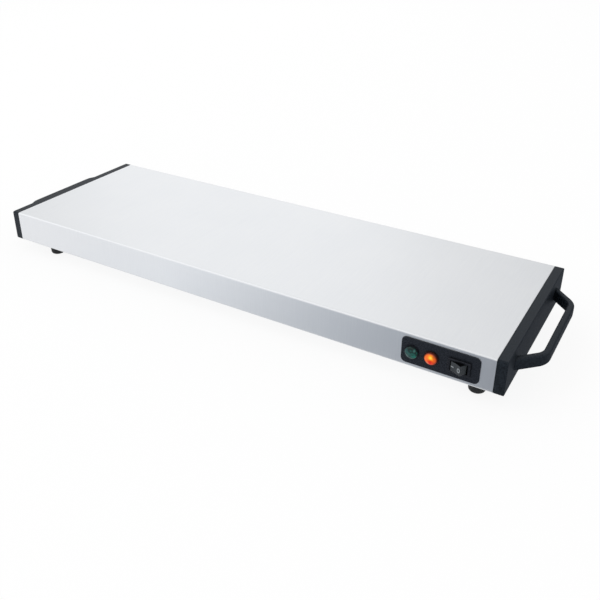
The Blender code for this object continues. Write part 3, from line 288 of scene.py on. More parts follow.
def spot(material, colour, right, above, reach):
    """Seen from the front, 0 at a point so many mm off the axis of a lens, and 1 at its reach."""
    coordinates = add_node(material, "ShaderNodeTexCoord")
    flat = add_node(material, "ShaderNodeVectorMath",
                    [(0, coordinates.outputs["Object"]), (1, FRONT_PLANE)], operation="MULTIPLY")
    place = (centre_of("lamp_lens_" + colour) + Vector((right, 0.0, above)) * MM) * FRONT_PLANE
    away = add_node(material, "ShaderNodeVectorMath",
                    [(0, flat.outputs["Vector"]), (1, place)], operation="DISTANCE")
    return between(material, away.outputs["Value"], 0.0, 1.0, (0.0, reach * MM))


def painted_light_patches(material, colour, under, patches):
    """A colour with round patches of painted light over it: (right, above, reach, hex colour,
    share).
    """
    for right_off, above, reach, patch_colour, share in patches:
        fade = between(material, spot(material, colour, right_off, above, reach), share, 0.0,
                       (PATCH_HEART, 1.0))
        under = blend(material, fade, under, linear(patch_colour))
    return under


def faceted_dome(name):
    """Clear-coated polycarbonate with facets, and the node that draws them."""
    material, bsdf = new_material(
        name, [("IOR", POLYCARBONATE_IOR), ("Roughness", 0.3), ("Specular IOR Level", LENS_SHEEN),
               ("Coat Weight", LENS_COAT), ("Coat Roughness", 0.06),
               ("Coat IOR", POLYCARBONATE_IOR)])
    place = add_node(material, "ShaderNodeTexCoord")
    facets = add_node(material, "ShaderNodeTexVoronoi",
                      [("Vector", place.outputs["Object"]), ("Scale", repeats(FACET_SIZE))],
                      feature="F1")
    wire(material, bsdf, Normal=relief(material, facets.outputs["Distance"], 0.6, 0.7))
    return material, bsdf, facets.outputs["Distance"]


green_dome, shader, facets = faceted_dome("tinted_green_polycarbonate")
# Painted light: the green lens is lighter at the middle of each facet and darker at its edges.
painted_facet_light = tint(green_dome, facets, "#13584e", "#04211e")
# Painted reflections of the pale floor at the lower left and left, painted shade at the top and on
# a facet at the right, a painted glint at the upper right, and a brighter teal at the lower right.
wire(green_dome, shader, Base_Color=painted_light_patches(green_dome, "green", painted_facet_light, [
    (-4.0, -3.4, 6.5, "#46686a", 0.5), (-4.8, 1.8, 3.6, "#2c5055", 0.5),
    (0.8, 5.6, 4.2, "#021a18", 0.9), (4.2, 1.6, 1.6, "#021c1a", 0.75),
    (3.4, 3.2, 1.6, "#4f9089", 0.35), (4.0, -3.2, 3.4, "#1c7a6c", 0.75)]))

orange_dome, shader, facets = faceted_dome("lit_orange_polycarbonate")
glow = shades(orange_dome, spot(orange_dome, "orange", 0.4, 2.0, 8.5),
              [(0.0, "#ffe05a"), (0.13, "#ffc433"), (0.25, "#fb941e"), (0.42, "#ee6510"),
               (0.7, "#e4510e"), (1.0, "#c43608")])
# Patches on the lamp's glow: red below the neon, painted reflections of the pale floor at the left
# and lower left, and painted shade at the right.
lit = painted_light_patches(orange_dome, "orange", glow, [
    (0.3, -2.9, 3.8, "#cf1400", 0.97), (-4.4, 0.4, 3.8, "#f67c34", 0.65),
    (-2.8, -4.6, 2.4, "#f59a70", 0.6), (5.0, -3.4, 3.0, "#8c1c0a", 0.75),
    (3.6, 3.8, 2.8, "#94480c", 0.7), (4.6, 0.6, 2.4, "#c04a10", 0.6)])
rim_share = between(orange_dome, spot(orange_dome, "orange", 0.0, -0.1, 6.1), 0.0, 1.0,
                    (0.8, 1.0))
lit = blend(orange_dome, rim_share, lit, linear("#3a0d04"))
# The base colour under the glow is also lighter at the middle of each facet, as painted light.
wire(orange_dome, shader, Base_Color=tint(orange_dome, facets, "#4a1000", "#240600"),
     Emission_Color=lit)
shader.inputs["Emission Strength"].default_value = 1.0
print("lenses", green_dome.name, orange_dome.name)

# %% [markdown]
# ### Rubber, zinc and the finishes inside
# The rest shows only from below or not at all, but every solid has its real finish: rubber feet,
# zinc-plated base and screws, an aluminium spreader, a heater sheathed in dark steel, glass fibre,
# ceramic, brown phenolic, brass and the sleeves of the leads.

# %% Metals and non-metals inside
EVEN = (1.0, 1.0, 1.0)


def worked_metal(name, dark, light, roughness, pattern, depth, stretch=EVEN):
    """A bare or plated metal: its pattern in mm is a spangle, a rolling line or a tool mark."""
    return worked(name, [("Metallic", 1.0)], (pattern, 3.0, stretch), (dark, light), roughness,
                  depth, 0.5)


def plain_solid(name, dark, light, roughness, pattern, depth, ior, stretch=EVEN):
    """A non-metal: its pattern in mm is a grain, a fibre or a pore."""
    return worked(name, [("IOR", ior)], (pattern, 4.0, stretch), (dark, light), roughness,
                  depth, 0.6)


zinc = worked_metal("zinc_plated_steel", "#b4b8bd", "#c6cacf", (0.34, 0.5), 4.0, 0.01)
bright_zinc = worked_metal("bright_zinc_screw", "#b9bcc0", "#d0d3d6", (0.2, 0.32), 0.6, 0.004)
aluminium = worked_metal("rolled_aluminium", "#d3d5d7", "#dddfe0", (0.3, 0.4), 0.5, 0.01,
                         (60.0, 1.0, 1.0))
sheath = worked_metal("heat_browned_sheath_steel", "#5d564f", "#7a746c", (0.35, 0.5), 3.0, 0.02)
brass = worked_metal("turned_brass", "#b5924c", "#cdab63", (0.22, 0.34), 0.4, 0.004)
rubber = plain_solid("moulded_black_rubber", "#0d1013", "#15191c", (0.6, 0.75), 0.8, 0.03, 1.4)
glass_fibre = plain_solid("needled_glass_fibre", "#c9c2ac", "#e0dbc9", (0.85, 0.95), 1.2, 0.5,
                          1.5, (6.0, 1.0, 1.0))
ceramic = plain_solid("glazed_white_ceramic", "#ddd9d0", "#ebe8e1", (0.2, 0.32), 2.0, 0.01, 1.55)
phenolic = plain_solid("moulded_brown_phenolic", "#3c2118", "#4d2c20", (0.35, 0.5), 0.8, 0.01, 1.6)
live_sleeve = plain_solid("extruded_brown_silicone", "#4a2c1d", "#573625", (0.4, 0.5), 1.5, 0.01,
                          1.42)
neutral_sleeve = plain_solid("extruded_blue_silicone", "#2a4d8e", "#335aa0", (0.4, 0.5), 1.5,
                             0.01, 1.42)
heat_sleeve = plain_solid("braided_glass_sleeve", "#c9c6bd", "#e4e2da", (0.6, 0.75), 0.8, 0.08,
                          1.5)
print("finishes so far", len(bpy.data.materials))

# %% [markdown]
# ## Tools for the pieces
# Almost every part is a section pulled along a line (cover, caps, plate, switch) or a profile
# turned round an axis (feet, lamps, gland, screws), some with holes. Primitives with a Bevel
# modifier could give rough versions, but these roundings have known radii, so outlines and
# profiles are drawn with true arcs. Holes are Boolean cuts, applied at once so that no cutter
# stays in the scene.

# %% Outlines
ARC_STEPS = 8  # straight steps in a rounded corner
EDGE_STEPS = 6  # and in a softened edge
ROUND_SIDES = 64
SHARP_ANGLE = math.radians(32)


def quarter_turn(steps):
    """Angles from nothing to a right angle."""
    return [math.pi / 2 * i / steps for i in range(steps + 1)]


def rounding(radius, steps=EDGE_STEPS):
    """A quarter-round, as pairs that say how far it is from the corner along either side."""
    return [(radius * (1 - math.cos(turn)), radius * (1 - math.sin(turn)))
            for turn in quarter_turn(steps)]


def rounded(corners, radii, steps=ARC_STEPS):
    """A closed outline whose corners are replaced by arcs of these radii."""
    points = []
    for i, radius in enumerate(radii):
        corner = Vector(corners[i])
        before = (Vector(corners[i - 1]) - corner).normalized()
        after = (Vector(corners[(i + 1) % len(corners)]) - corner).normalized()
        if radius <= 0:
            points.append(corner)
            continue
        half = before.angle(after) / 2
        centre = corner + (before + after).normalized() * radius / math.sin(half)
        first = corner + before * radius / math.tan(half) - centre
        last = corner + after * radius / math.tan(half) - centre
        turn = first.angle(last)
        for k in range(steps + 1):
            t = k / steps
            points.append(centre + (first * math.sin((1 - t) * turn) + last * math.sin(t * turn))
                          / math.sin(turn))
    return points


def rectangle(width, height, radius=0.0, centre=(0.0, 0.0)):
    """A rectangle with rounded corners."""
    x, y = centre
    corners = [(x + width / 2, y + height / 2), (x - width / 2, y + height / 2),
               (x - width / 2, y - height / 2), (x + width / 2, y - height / 2)]
    return rounded(corners, [radius] * 4)


def on_axis(axis, u, v, along):
    """A point of an outline that lies across the X, Y or Z axis."""
    return {"X": Vector((along, u, v)), "Y": Vector((u, along, v)),
            "Z": Vector((u, v, along))}[axis]


print("a rounded corner has", len(rectangle(1, 1, 0.1)) // 4, "points")

# %% Skins
def new_piece(name, mesh_maker):
    """An object whose mesh is filled by mesh_maker(bm), with its normals turned outwards."""
    bm = bmesh.new()
    mesh_maker(bm)
    bmesh.ops.recalc_face_normals(bm, faces=bm.faces)
    mesh = bpy.data.meshes.new(name)
    bm.to_mesh(mesh)
    bm.free()
    piece = bpy.data.objects.new(name, mesh)
    bpy.context.collection.objects.link(piece)
    return piece


def skin(name, rings):
    """A closed skin over rings of points, with a flat face on the first and the last."""
    def fill(bm):
        rows = [[bm.verts.new(point) for point in ring] for ring in rings]
        bm.faces.new(rows[0])
        bm.faces.new(rows[-1])
        for low, high in zip(rows, rows[1:]):
            for i in range(len(low)):
                bm.faces.new((low[i - 1], low[i], high[i], high[i - 1]))
    return new_piece(name, fill)


def prism(name, outline, axis, start, end):
    """An outline pulled straight along an axis."""
    return skin(name, [[on_axis(axis, u, v, along) for u, v in outline] for along in (start, end)])


def turned(name, profile, sides=ROUND_SIDES):
    """A profile of (radius, height) points turned round Z. One that starts or ends on the axis
    closes there, and any other is a ring."""
    def fill(bm):
        rows = []
        for radius, height in profile:
            if radius == 0:
                rows.append([bm.verts.new((0, 0, height))])
                continue
            rows.append([bm.verts.new((radius * math.cos(math.tau * i / sides),
                                       radius * math.sin(math.tau * i / sides), height))
                         for i in range(sides)])
        pairs = list(zip(rows, rows[1:]))
        if profile[0][0] > 0:
            pairs.append((rows[-1], rows[0]))
        for low, high in pairs:
            for i in range(sides):
                corners = [low[i % len(low)], low[(i + 1) % len(low)],
                           high[(i + 1) % len(high)], high[i % len(high)]]
                corners = [c for k, c in enumerate(corners) if c not in corners[:k]]
                if len(corners) > 2:
                    bm.faces.new(corners)
    return new_piece(name, fill)


def rod(name, radius, bottom, top, sides=ROUND_SIDES):
    """A plain round bar along Z."""
    return turned(name, [(0, bottom), (radius, bottom), (radius, top), (0, top)], sides)


def stand(piece, place, direction=(0, 0, 1)):
    """Turns a piece from +Z to a direction and moves it, inside its mesh."""
    turn = Vector((0, 0, 1)).rotation_difference(Vector(direction)).to_matrix().to_4x4()
    piece.data.transform(Matrix.Translation(place) @ turn)
    return piece


print("a round part has", ROUND_SIDES, "sides")

# %% Cuts, joints and the last step of a piece
def combine(piece, operation, tools):
    """Applies a Boolean with each tool, and removes the tool."""
    for tool in tools:
        step = piece.modifiers.new("boolean", "BOOLEAN")
        step.operation = operation
        step.object = tool
        step.solver = "EXACT"
        depsgraph = bpy.context.evaluated_depsgraph_get()
        result = bpy.data.meshes.new_from_object(piece.evaluated_get(depsgraph))
        piece.modifiers.clear()
        piece.data = result
        bpy.data.objects.remove(tool)


def carve(piece, *tools):
    """Cuts the tools out of the piece."""
    combine(piece, "DIFFERENCE", tools)


def fuse(piece, *tools):
    """Joins the tools to the piece."""
    combine(piece, "UNION", tools)


def dress(piece, material, slot, *nodes, body="housing"):
    """Gives a piece its finish and smooth shading, and ties it to the CAD."""
    piece.data.materials.clear()
    piece.data.materials.append(material)
    for face in piece.data.polygons:
        face.material_index = 0
        face.use_smooth = True
    piece.data.set_sharp_from_angle(angle=SHARP_ANGLE)
    weighted = piece.modifiers.new("flat_faces_stay_flat", "WEIGHTED_NORMAL")
    weighted.keep_sharp = True
    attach(piece, body)
    if nodes:
        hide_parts(*nodes)
    print(piece.name, "-", len(piece.data.polygons), "faces, finish", material.name)

# %% [markdown]
# ## Steel cover
# One sheet is folded four times: down at the front and rear, and inwards at the bottom. The folds
# catch the light, so their radius of 2 mm is drawn in ten steps. Solidify could thicken a single
# surface, but a section with its own thickness keeps the inner radius true. The window of the
# controls, the hole of the gland and the screw holes are then cut through it.

# %% Steel cover
SHEET = 0.8 * MM
FOLD = 2.0 * MM
FLANGE = 10 * MM
FOLD_STEPS = 10
OVERRUN = 2 * MM  # how far a cutter runs past a wall
HOLE_SIDES = 32

cover_low, cover_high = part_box("top_cover")
FRONT, REAR = cover_low.y, cover_high.y
COVER_END = cover_high.x
TRAY_BOTTOM, TRAY_TOP = cover_low.z, cover_high.z
MID_HEIGHT = (TRAY_BOTTOM + TRAY_TOP) / 2
lip = REAR - FLANGE
inner = REAR - SHEET
flange_top = TRAY_BOTTOM + SHEET
ceiling = TRAY_TOP - SHEET
section = rounded(
    [(-lip, TRAY_BOTTOM), (-REAR, TRAY_BOTTOM), (-REAR, TRAY_TOP), (REAR, TRAY_TOP),
     (REAR, TRAY_BOTTOM), (lip, TRAY_BOTTOM), (lip, flange_top), (inner, flange_top),
     (inner, ceiling), (-inner, ceiling), (-inner, flange_top), (-lip, flange_top)],
    [0, FOLD, FOLD, FOLD, FOLD, 0, 0] + [FOLD - SHEET] * 4 + [0], FOLD_STEPS)
cover = prism("folded_steel_cover", section, "X", -COVER_END, COVER_END)

PLATE_LIP = 2.4 * MM
PLATE_MIDDLE = (centre_of("control_plate").x, MID_HEIGHT)
PLATE = size_of("control_plate").xz
window = rectangle(PLATE[0] - PLATE_LIP * 2, PLATE[1] - PLATE_LIP * 2, 0.6 * MM, PLATE_MIDDLE)
GLAND_MIDDLE = Vector((centre_of("cord_gland").x, REAR, MID_HEIGHT))
GLAND_BARREL = 6.0 * MM
AIR = 0.3 * MM  # between parts that touch
carve(cover, prism("window", window, "Y", FRONT - OVERRUN, FRONT + OVERRUN),
      stand(rod("gland_hole", GLAND_BARREL + AIR, -OVERRUN, OVERRUN), GLAND_MIDDLE, (0, 1, 0)))
SCREW_HOLE = 1.8 * MM
for node in frame["nodes"]:
    if node.startswith("base_screw_"):
        hole = rod("flange_hole", SCREW_HOLE, -OVERRUN, OVERRUN, HOLE_SIDES)
        carve(cover, stand(hole, (*centre_of(node).xy, TRAY_BOTTOM)))
dress(cover, steel, "steel_sheet", "top_cover")

# %% [markdown]
# ## End caps
# Each cap is one moulding: a rim 1 cm wide that shows, flush with the steel, and a skirt that
# plugs into the cover, with two sockets for the legs of the handle. The rim is skinned from rings
# that shrink along a quarter-round, because a Bevel modifier would also round the inner edge that
# has to stay tight against the steel.

# %% End caps
CAP_EDGE = 0.9 * MM
CAP_WALL = 2.5 * MM
SKIRT_LENGTH = 12 * MM
SKIRT_RADIUS = 1.6 * MM
SKIRT_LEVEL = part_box("base_plate")[1].z + AIR
TANG_WIDTH = 7.733 * MM
TANG_HEIGHT = 11.0 * MM
TANG_LENGTH = 13.5 * MM
SOCKET_DEPTH = 13.8 * MM
SOCKET_WALL = 1.8 * MM
SIDES = {"left": -1, "right": 1}
ROWS = {"front": -1, "rear": 1}
cap_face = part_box("end_cap_right")[1].x
TANG_Y = 71.833 * MM
handle_middle = {side: centre_of("handle_" + side).z for side in SIDES}


def cap_ring(side, distance, inset):
    """The rim's outline, pulled in on all sides, at a distance from the middle of the tray."""
    outline = rectangle((REAR - inset) * 2, TRAY_TOP - TRAY_BOTTOM - inset * 2, FOLD - inset,
                        (0.0, MID_HEIGHT))
    return [on_axis("X", u, v, side * distance) for u, v in outline]


for side_name, side in SIDES.items():
    rings = [cap_ring(side, COVER_END + AIR, 0.0)]
    rings += [cap_ring(side, cap_face - back, inset) for inset, back in rounding(CAP_EDGE)]
    cap = skin("end_cap_moulding_" + side_name, rings)
    skirt_depth = (inner - AIR) * 2
    skirt_height = ceiling - AIR - SKIRT_LEVEL
    skirt_middle = (ceiling - AIR + SKIRT_LEVEL) / 2
    skirt = rectangle(skirt_depth, skirt_height, SKIRT_RADIUS, (0.0, skirt_middle))
    hollow = rectangle(skirt_depth - CAP_WALL * 2, skirt_height - CAP_WALL * 2, 0.0,
                       (0.0, skirt_middle))
    fuse(cap, prism("skirt", skirt, "X", side * (COVER_END - SKIRT_LENGTH),
                    side * (cap_face - CAP_WALL)))
    carve(cap, prism("hollow", hollow, "X", side * (COVER_END - SKIRT_LENGTH - OVERRUN),
                     side * (cap_face - CAP_WALL)))
    for row in ROWS.values():
        place = (row * TANG_Y, handle_middle[side_name])
        pocket = rectangle(TANG_WIDTH + AIR * 2, TANG_HEIGHT + AIR * 2, 0.0, place)
        walls = rectangle(TANG_WIDTH + (AIR + SOCKET_WALL) * 2,
                          TANG_HEIGHT + (AIR + SOCKET_WALL) * 2, 0.0, place)
        fuse(cap, prism("socket", walls, "X", side * (cap_face - SOCKET_DEPTH - SOCKET_WALL),
                        side * (cap_face - CAP_WALL / 2)))
        carve(cap, prism("pocket", pocket, "X", side * (cap_face - SOCKET_DEPTH),
                         side * (cap_face + OVERRUN)))
    dress(cap, black_abs, "black_plastic", "end_cap_" + side_name)

# %% [markdown]
# ## Handles
# A handle is a flat black bar in the shape of a shallow U: it leaves the cap at 45 degrees and
# bends into a straight grip. A curve with a bevel object would twist its section in the bends, so
# the section is carried between an outer and an inner line, whose arcs share their centres. Its
# tangs go into the sockets of the cap.

# %% Handles
GRIP_THICKNESS = 6.6 * MM
GRIP_HEIGHT = 12.6 * MM
GRIP_EDGE = 2.1 * MM
BEND_RADIUS = 22 * MM
BEND_STEPS = 20
SPLAY = math.radians(45)
ROOT_Y = REAR - 25 * MM
TANG_OVERLAP = 0.4 * MM  # how far a tang runs into its leg
grip_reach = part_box("handle_right")[1].x


def handle_line(side, offset):
    """The run of the handle in plan, at an offset inside its outer line, from rear to front."""
    root = (cap_face + AIR, ROOT_Y - offset / math.cos(SPLAY))
    grip_x = grip_reach - offset
    bend = (grip_x, root[1] - (grip_x - root[0]) * math.tan(SPLAY))
    turning = rounded([root, bend, (grip_x, 0.0)], [0, BEND_RADIUS - offset, 0], BEND_STEPS)
    half = [Vector((side * x, y)) for x, y in turning[:-1]]
    return half + [Vector((x, -y)) for x, y in reversed(half)]


for side_name, side in SIDES.items():
    middle_z = handle_middle[side_name]
    section = rectangle(GRIP_THICKNESS, GRIP_HEIGHT, GRIP_EDGE, (GRIP_THICKNESS / 2, middle_z))
    rings = [[(*outside.lerp(inside, offset / GRIP_THICKNESS), height)
              for offset, height in section]
             for outside, inside in zip(handle_line(side, 0.0), handle_line(side, GRIP_THICKNESS))]
    handle = skin("handle_moulding_" + side_name, rings)
    for row in ROWS.values():
        tang = rectangle(TANG_WIDTH, TANG_HEIGHT, 0.0, (row * TANG_Y, middle_z))
        fuse(handle, prism("tang", tang, "X", side * (cap_face - TANG_LENGTH),
                           side * (cap_face + AIR + TANG_OVERLAP)))
    dress(handle, black_abs, "black_plastic", "handle_" + side_name)

# %% [markdown]
# ## Feet
# The feet are rubber buttons with a big rounding at the table and a sunk screw. A turned profile
# gives them whole: up the bore, out over the seat of the screw head, down the counterbore and
# round the outside.

# %% Feet
FOOT_RADIUS = 9 * MM
FOOT_LOW_RADIUS = 8.2 * MM
FOOT_EDGE = 2.8 * MM
SINK_RADIUS = 4.5 * MM
SINK_DEPTH = 8 * MM
foot_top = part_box("foot_front_left")[1].z
profile = [(SCREW_HOLE, foot_top), (SCREW_HOLE, SINK_DEPTH), (SINK_RADIUS - 0.4 * MM, SINK_DEPTH),
           (SINK_RADIUS, SINK_DEPTH - 0.4 * MM), (SINK_RADIUS, 0.5 * MM),
           (SINK_RADIUS + 0.5 * MM, 0)]
profile += [(FOOT_LOW_RADIUS - inset, up) for up, inset in rounding(FOOT_EDGE, ARC_STEPS)]
profile += [(FOOT_RADIUS, foot_top - 0.5 * MM), (FOOT_RADIUS - 0.4 * MM, foot_top)]
for node in sorted(frame["nodes"]):
    if node.startswith("foot_") and "screw" not in node:
        foot = stand(turned("rubber_" + node, profile), (*centre_of(node).xy, 0))
        dress(foot, rubber, "foot_rubber", node)

# %% [markdown]
# ## Screws
# All screws have the same pan head, 6 mm across, with a cross recess. The head is a turned profile
# and two wedges crossed at a right angle cut the recess. Screws of one length and finish share
# one mesh.

# %% Screws
HEAD_RADIUS = 3.0 * MM
HEAD_HEIGHT = 2.2 * MM
SHANK_RADIUS = 1.5 * MM
THREAD_PITCH = 0.6 * MM
SLOT_WIDTH = 0.9 * MM
SLOT_REACH = 1.7 * MM
SLOT_DEPTH = 1.3 * MM
HEAD_STEPS = 6


def cross_screw(name, shank):
    """A pan-head screw with its seat at the origin, its head below and its thread upwards."""
    dome = [(HEAD_RADIUS * math.sin(turn), -HEAD_HEIGHT * (0.45 + 0.55 * math.cos(turn)))
            for turn in quarter_turn(HEAD_STEPS)]
    profile = dome + [(HEAD_RADIUS, -0.2 * MM), (HEAD_RADIUS - 0.2 * MM, 0), (SHANK_RADIUS, 0)]
    turns = int((shank - THREAD_PITCH * 2) / THREAD_PITCH)
    for i in range(1, turns + 1):
        profile += [(SHANK_RADIUS, THREAD_PITCH * i),
                    (SHANK_RADIUS - 0.25 * MM, THREAD_PITCH * (i + 0.5))]
    profile += [(SHANK_RADIUS - 0.5 * MM, shank), (0, shank)]
    screw = turned(name, profile, 24)
    for width, depth in ((SLOT_WIDTH, SLOT_REACH * 2), (SLOT_REACH * 2, SLOT_WIDTH)):
        wedge = skin("wedge", [
            [on_axis("Z", u, v, -HEAD_HEIGHT - 0.5 * MM) for u, v in rectangle(width, depth)],
            [on_axis("Z", u, v, SLOT_DEPTH - HEAD_HEIGHT)
             for u, v in rectangle(width * 0.5, depth * 0.5)]])
        carve(screw, wedge)
    return screw


screw_meshes = {}
for node in sorted(frame["nodes"]):
    if "_screw" not in node or node.startswith("handle_"):
        continue
    length = round((size_of(node).z - HEAD_HEIGHT) / MM, 2)
    finish, slot = (brass, "earth_brass") if node == "earth_screw" else (bright_zinc,
                                                                       "zinc_plated_steel")
    key = (length, finish.name)
    if key not in screw_meshes:
        screw = cross_screw("cross_" + node, length * MM)
        screw_meshes[key] = screw.data
    else:
        screw = bpy.data.objects.new("cross_" + node, screw_meshes[key])
        bpy.context.collection.objects.link(screw)
    screw.location = (*centre_of(node).xy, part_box(node)[0].z + HEAD_HEIGHT)
    dress(screw, finish, slot, node)

# %% [markdown]
# ## Control plate
# The plate clips into the window: a lip with rounded corners lies on the apron, and behind it a
# plug fills the window. Its rim is skinned from shrinking rings as the caps are. The bezel hides
# the opening for the switch, so that can stay a plain cut.

# %% Control plate
PLATE_RADIUS = 5 * MM
PLATE_EDGE = 0.6 * MM
SWITCH_WALL = 1.0 * MM
BEZEL_LIP = 0.95 * MM  # how far the bezel reaches past the housing, above and below
BEZEL_END_LIP = 1.5 * MM
LAMP_BARREL = 5.0 * MM
LAMP_HOLE_DEPTH = 10 * MM
plate_face, plate_back = [corner.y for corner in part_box("control_plate")]
SWITCH_MIDDLE = centre_of("switch_body").xz
BEZEL = size_of("switch_body").xz
HOUSING = (BEZEL[0] - BEZEL_END_LIP * 2, BEZEL[1] - BEZEL_LIP * 2)


def front_ring(along, inset, size, radius, middle):
    """A rounded outline in the plane of the front, pulled in on all sides."""
    outline = rectangle(size[0] - inset * 2, size[1] - inset * 2, radius - inset, middle)
    return [on_axis("Y", u, v, along) for u, v in outline]


def front_moulding(name, face, back, edge, *place):
    """A flat moulding that faces the front, with a rounded edge. place is as for a ring."""
    rings = [front_ring(face + deep, inset, *place) for deep, inset in rounding(edge)]
    return skin(name, rings + [front_ring(back, 0.0, *place)])


plate = front_moulding("control_plate_moulding", plate_face, FRONT - AIR, PLATE_EDGE, PLATE,
                       PLATE_RADIUS, PLATE_MIDDLE)
plug = rectangle(PLATE[0] - (PLATE_LIP + AIR) * 2, PLATE[1] - (PLATE_LIP + AIR) * 2, 0.0,
                 PLATE_MIDDLE)
fuse(plate, prism("plug", plug, "Y", FRONT - 0.5 * MM, plate_back))
opening = rectangle(HOUSING[0] + AIR * 2, HOUSING[1] + AIR * 2, 0.0, SWITCH_MIDDLE)
carve(plate, prism("opening", opening, "Y", plate_face - OVERRUN, plate_back + OVERRUN))
for colour in ("orange", "green"):
    middle = centre_of("lamp_lens_" + colour)
    hole = rod("lamp_hole", LAMP_BARREL + AIR, 0, LAMP_HOLE_DEPTH)
    carve(plate, stand(hole, (middle.x, plate_face - OVERRUN, middle.z), (0, 1, 0)))
dress(plate, plate_abs, "plate_plastic", "control_plate")

# %% [markdown]
# ## Rocker switch
# The switch has a bezel that stands two millimetres proud of the plate, a well, and a rocker that
# turns on two pins. The rocker is a piece of its own, because it moves with its own body. Its ends
# lean outwards, so that the gap beside them is narrow at either position, and its face is a
# shallow V. It is drawn upright and then turned on its pins to where the CAD node is. Face and
# ends are grained. Its upper and lower sides are polished, and their colour is painted near black
# as painted shade, for the dark plate that they mirror and the shade of the well. The marks I and O
# are thin inlays that ride with it.

# %% Switch frame
BEZEL_THICKNESS = 1.8 * MM
BEZEL_EDGE = 0.5 * MM
BEZEL_RADIUS = 0.8 * MM
WELL_SLOPE = 0.2 * MM
WELL_RADIUS = 0.3 * MM
WELL_DEPTH = 9.2 * MM
BLADE = (4.8 * MM, 0.8 * MM)
BLADE_LENGTH = 9 * MM
BLADE_PLACES = [(x * MM, z * MM) for x in (-4.5, 4.5) for z in (-3.5, 3.5)]
bezel_face, blade_end = [corner.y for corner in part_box("switch_body")]
well_size = [side_length - SWITCH_WALL * 2 for side_length in HOUSING]

switch = front_moulding("switch_frame", bezel_face, bezel_face + BEZEL_THICKNESS, BEZEL_EDGE,
                        BEZEL, BEZEL_RADIUS, SWITCH_MIDDLE)
housing = rectangle(*HOUSING, 0.0, SWITCH_MIDDLE)
housing_back = blade_end - BLADE_LENGTH
fuse(switch, prism("housing", housing, "Y", bezel_face + BEZEL_THICKNESS / 2, housing_back))
carve(switch, skin("well", [
    front_ring(bezel_face + deep, inset, well_size, WELL_RADIUS, SWITCH_MIDDLE)
    for deep, inset in ((-WELL_SLOPE, -WELL_SLOPE * 2), (WELL_SLOPE, 0.0), (WELL_DEPTH, 0.0))]))
for x, z in BLADE_PLACES:
    blade = rectangle(*BLADE, 0.0, (SWITCH_MIDDLE[0] + x, SWITCH_MIDDLE[1] + z))
    fuse(switch, prism("blade", blade, "Y", housing_back - OVERRUN, blade_end))
dress(switch, switch_nylon, "switch_plastic", "switch_body")

# %% Rocker
ROCKER_HALF = 5.66 * MM  # from the pins to each end of the face, along the face
ROCKER_REACH = 5.45 * MM  # from the pins out to the ends of the face
ROCKER_DIP = math.radians(4)
ROCKER_TILT = math.radians(24.5)
ROCKER_DRAFT = math.radians(8.4)
ROCKER_BACK = 2.0 * MM
ROCKER_HEIGHT = 10.0 * MM
ROCKER_ROUNDING = 0.5 * MM
# Faces whose normal is more upright than this get the painted shade.
PAINTED_SHADE_SIDE = 0.9  # how upright the normal of a polished face is
PIN_RADIUS = 0.9 * MM
PIN_SIDES = 24
pivot = Vector(frame["record"]["behaviour"]["joints"][0]["pos_m"])
rocker_turn = Matrix.Translation(pivot) @ Matrix.Rotation(-ROCKER_TILT, 4, "Z")
sweep = math.hypot(ROCKER_HALF, ROCKER_REACH)
dip_reach = ROCKER_REACH - ROCKER_HALF * math.tan(ROCKER_DIP)
back_half = ROCKER_HALF + (ROCKER_REACH + ROCKER_BACK) * math.tan(ROCKER_DRAFT)
section = rounded([(0, -dip_reach), (ROCKER_HALF, -ROCKER_REACH), (back_half, ROCKER_BACK),
                   (-back_half, ROCKER_BACK), (-ROCKER_HALF, -ROCKER_REACH)],
                  [ROCKER_HALF] + [ROCKER_ROUNDING] * 4)
half_height = ROCKER_HEIGHT / 2
rings = []
for sign in (-1, 1):
    edge = []
    for down, inset in rounding(ROCKER_ROUNDING):
        shrink = 1 - inset / sweep
        edge.append([Vector((p.x * shrink, p.y * shrink, sign * (half_height - down)))
                     for p in section])
    rings += edge if sign < 0 else reversed(edge)
rocker = skin("rocker_moulding", rings)
pin_reach = HOUSING[1] / 2
fuse(rocker, rod("pins", PIN_RADIUS, -pin_reach, pin_reach, PIN_SIDES))
rocker.data.transform(rocker_turn)
dress(rocker, rocker_nylon, "switch_plastic", "switch_rocker", body="rocker")
# Painted shade: the upper and lower sides take the near-black copy, for the dark plate that they
# mirror and the shade of the well.
rocker.data.materials.append(polished_nylon_painted_shade)
for face in rocker.data.polygons:
    face.material_index = 1 if abs(face.normal.z) > PAINTED_SHADE_SIDE else 0

# %% Marks on the rocker
MARK_PLACE = 3.7 * MM  # from the middle of the rocker, along its face
MARK_PROUD = 0.05 * MM
MARK_DEPTH = 0.3 * MM
DASH = (2.9 * MM, 0.8 * MM)
RING_OUTSIDE = 2.25 * MM
RING_INSIDE = 1.35 * MM
RING_SQUEEZE = 0.78  # the O is narrower than it is tall
mark_reach = ROCKER_REACH - (ROCKER_HALF - MARK_PLACE) * math.tan(ROCKER_DIP)


def lay_mark(mark, side):
    """Moves a mark that was drawn flat, facing +Z, onto the left (-1) or right (1) face."""
    along = Vector((math.cos(ROCKER_DIP), -side * math.sin(ROCKER_DIP), 0))
    out = Vector((-side * math.sin(ROCKER_DIP), -math.cos(ROCKER_DIP), 0))
    across = out.cross(along)
    laid = Matrix((along, across, out)).transposed().to_4x4()
    mark.data.transform(Matrix.Translation((side * MARK_PLACE, -mark_reach, 0)) @ laid)
    mark.data.transform(rocker_turn)
    dress(mark, mark_ink, "switch_plastic", body="rocker")


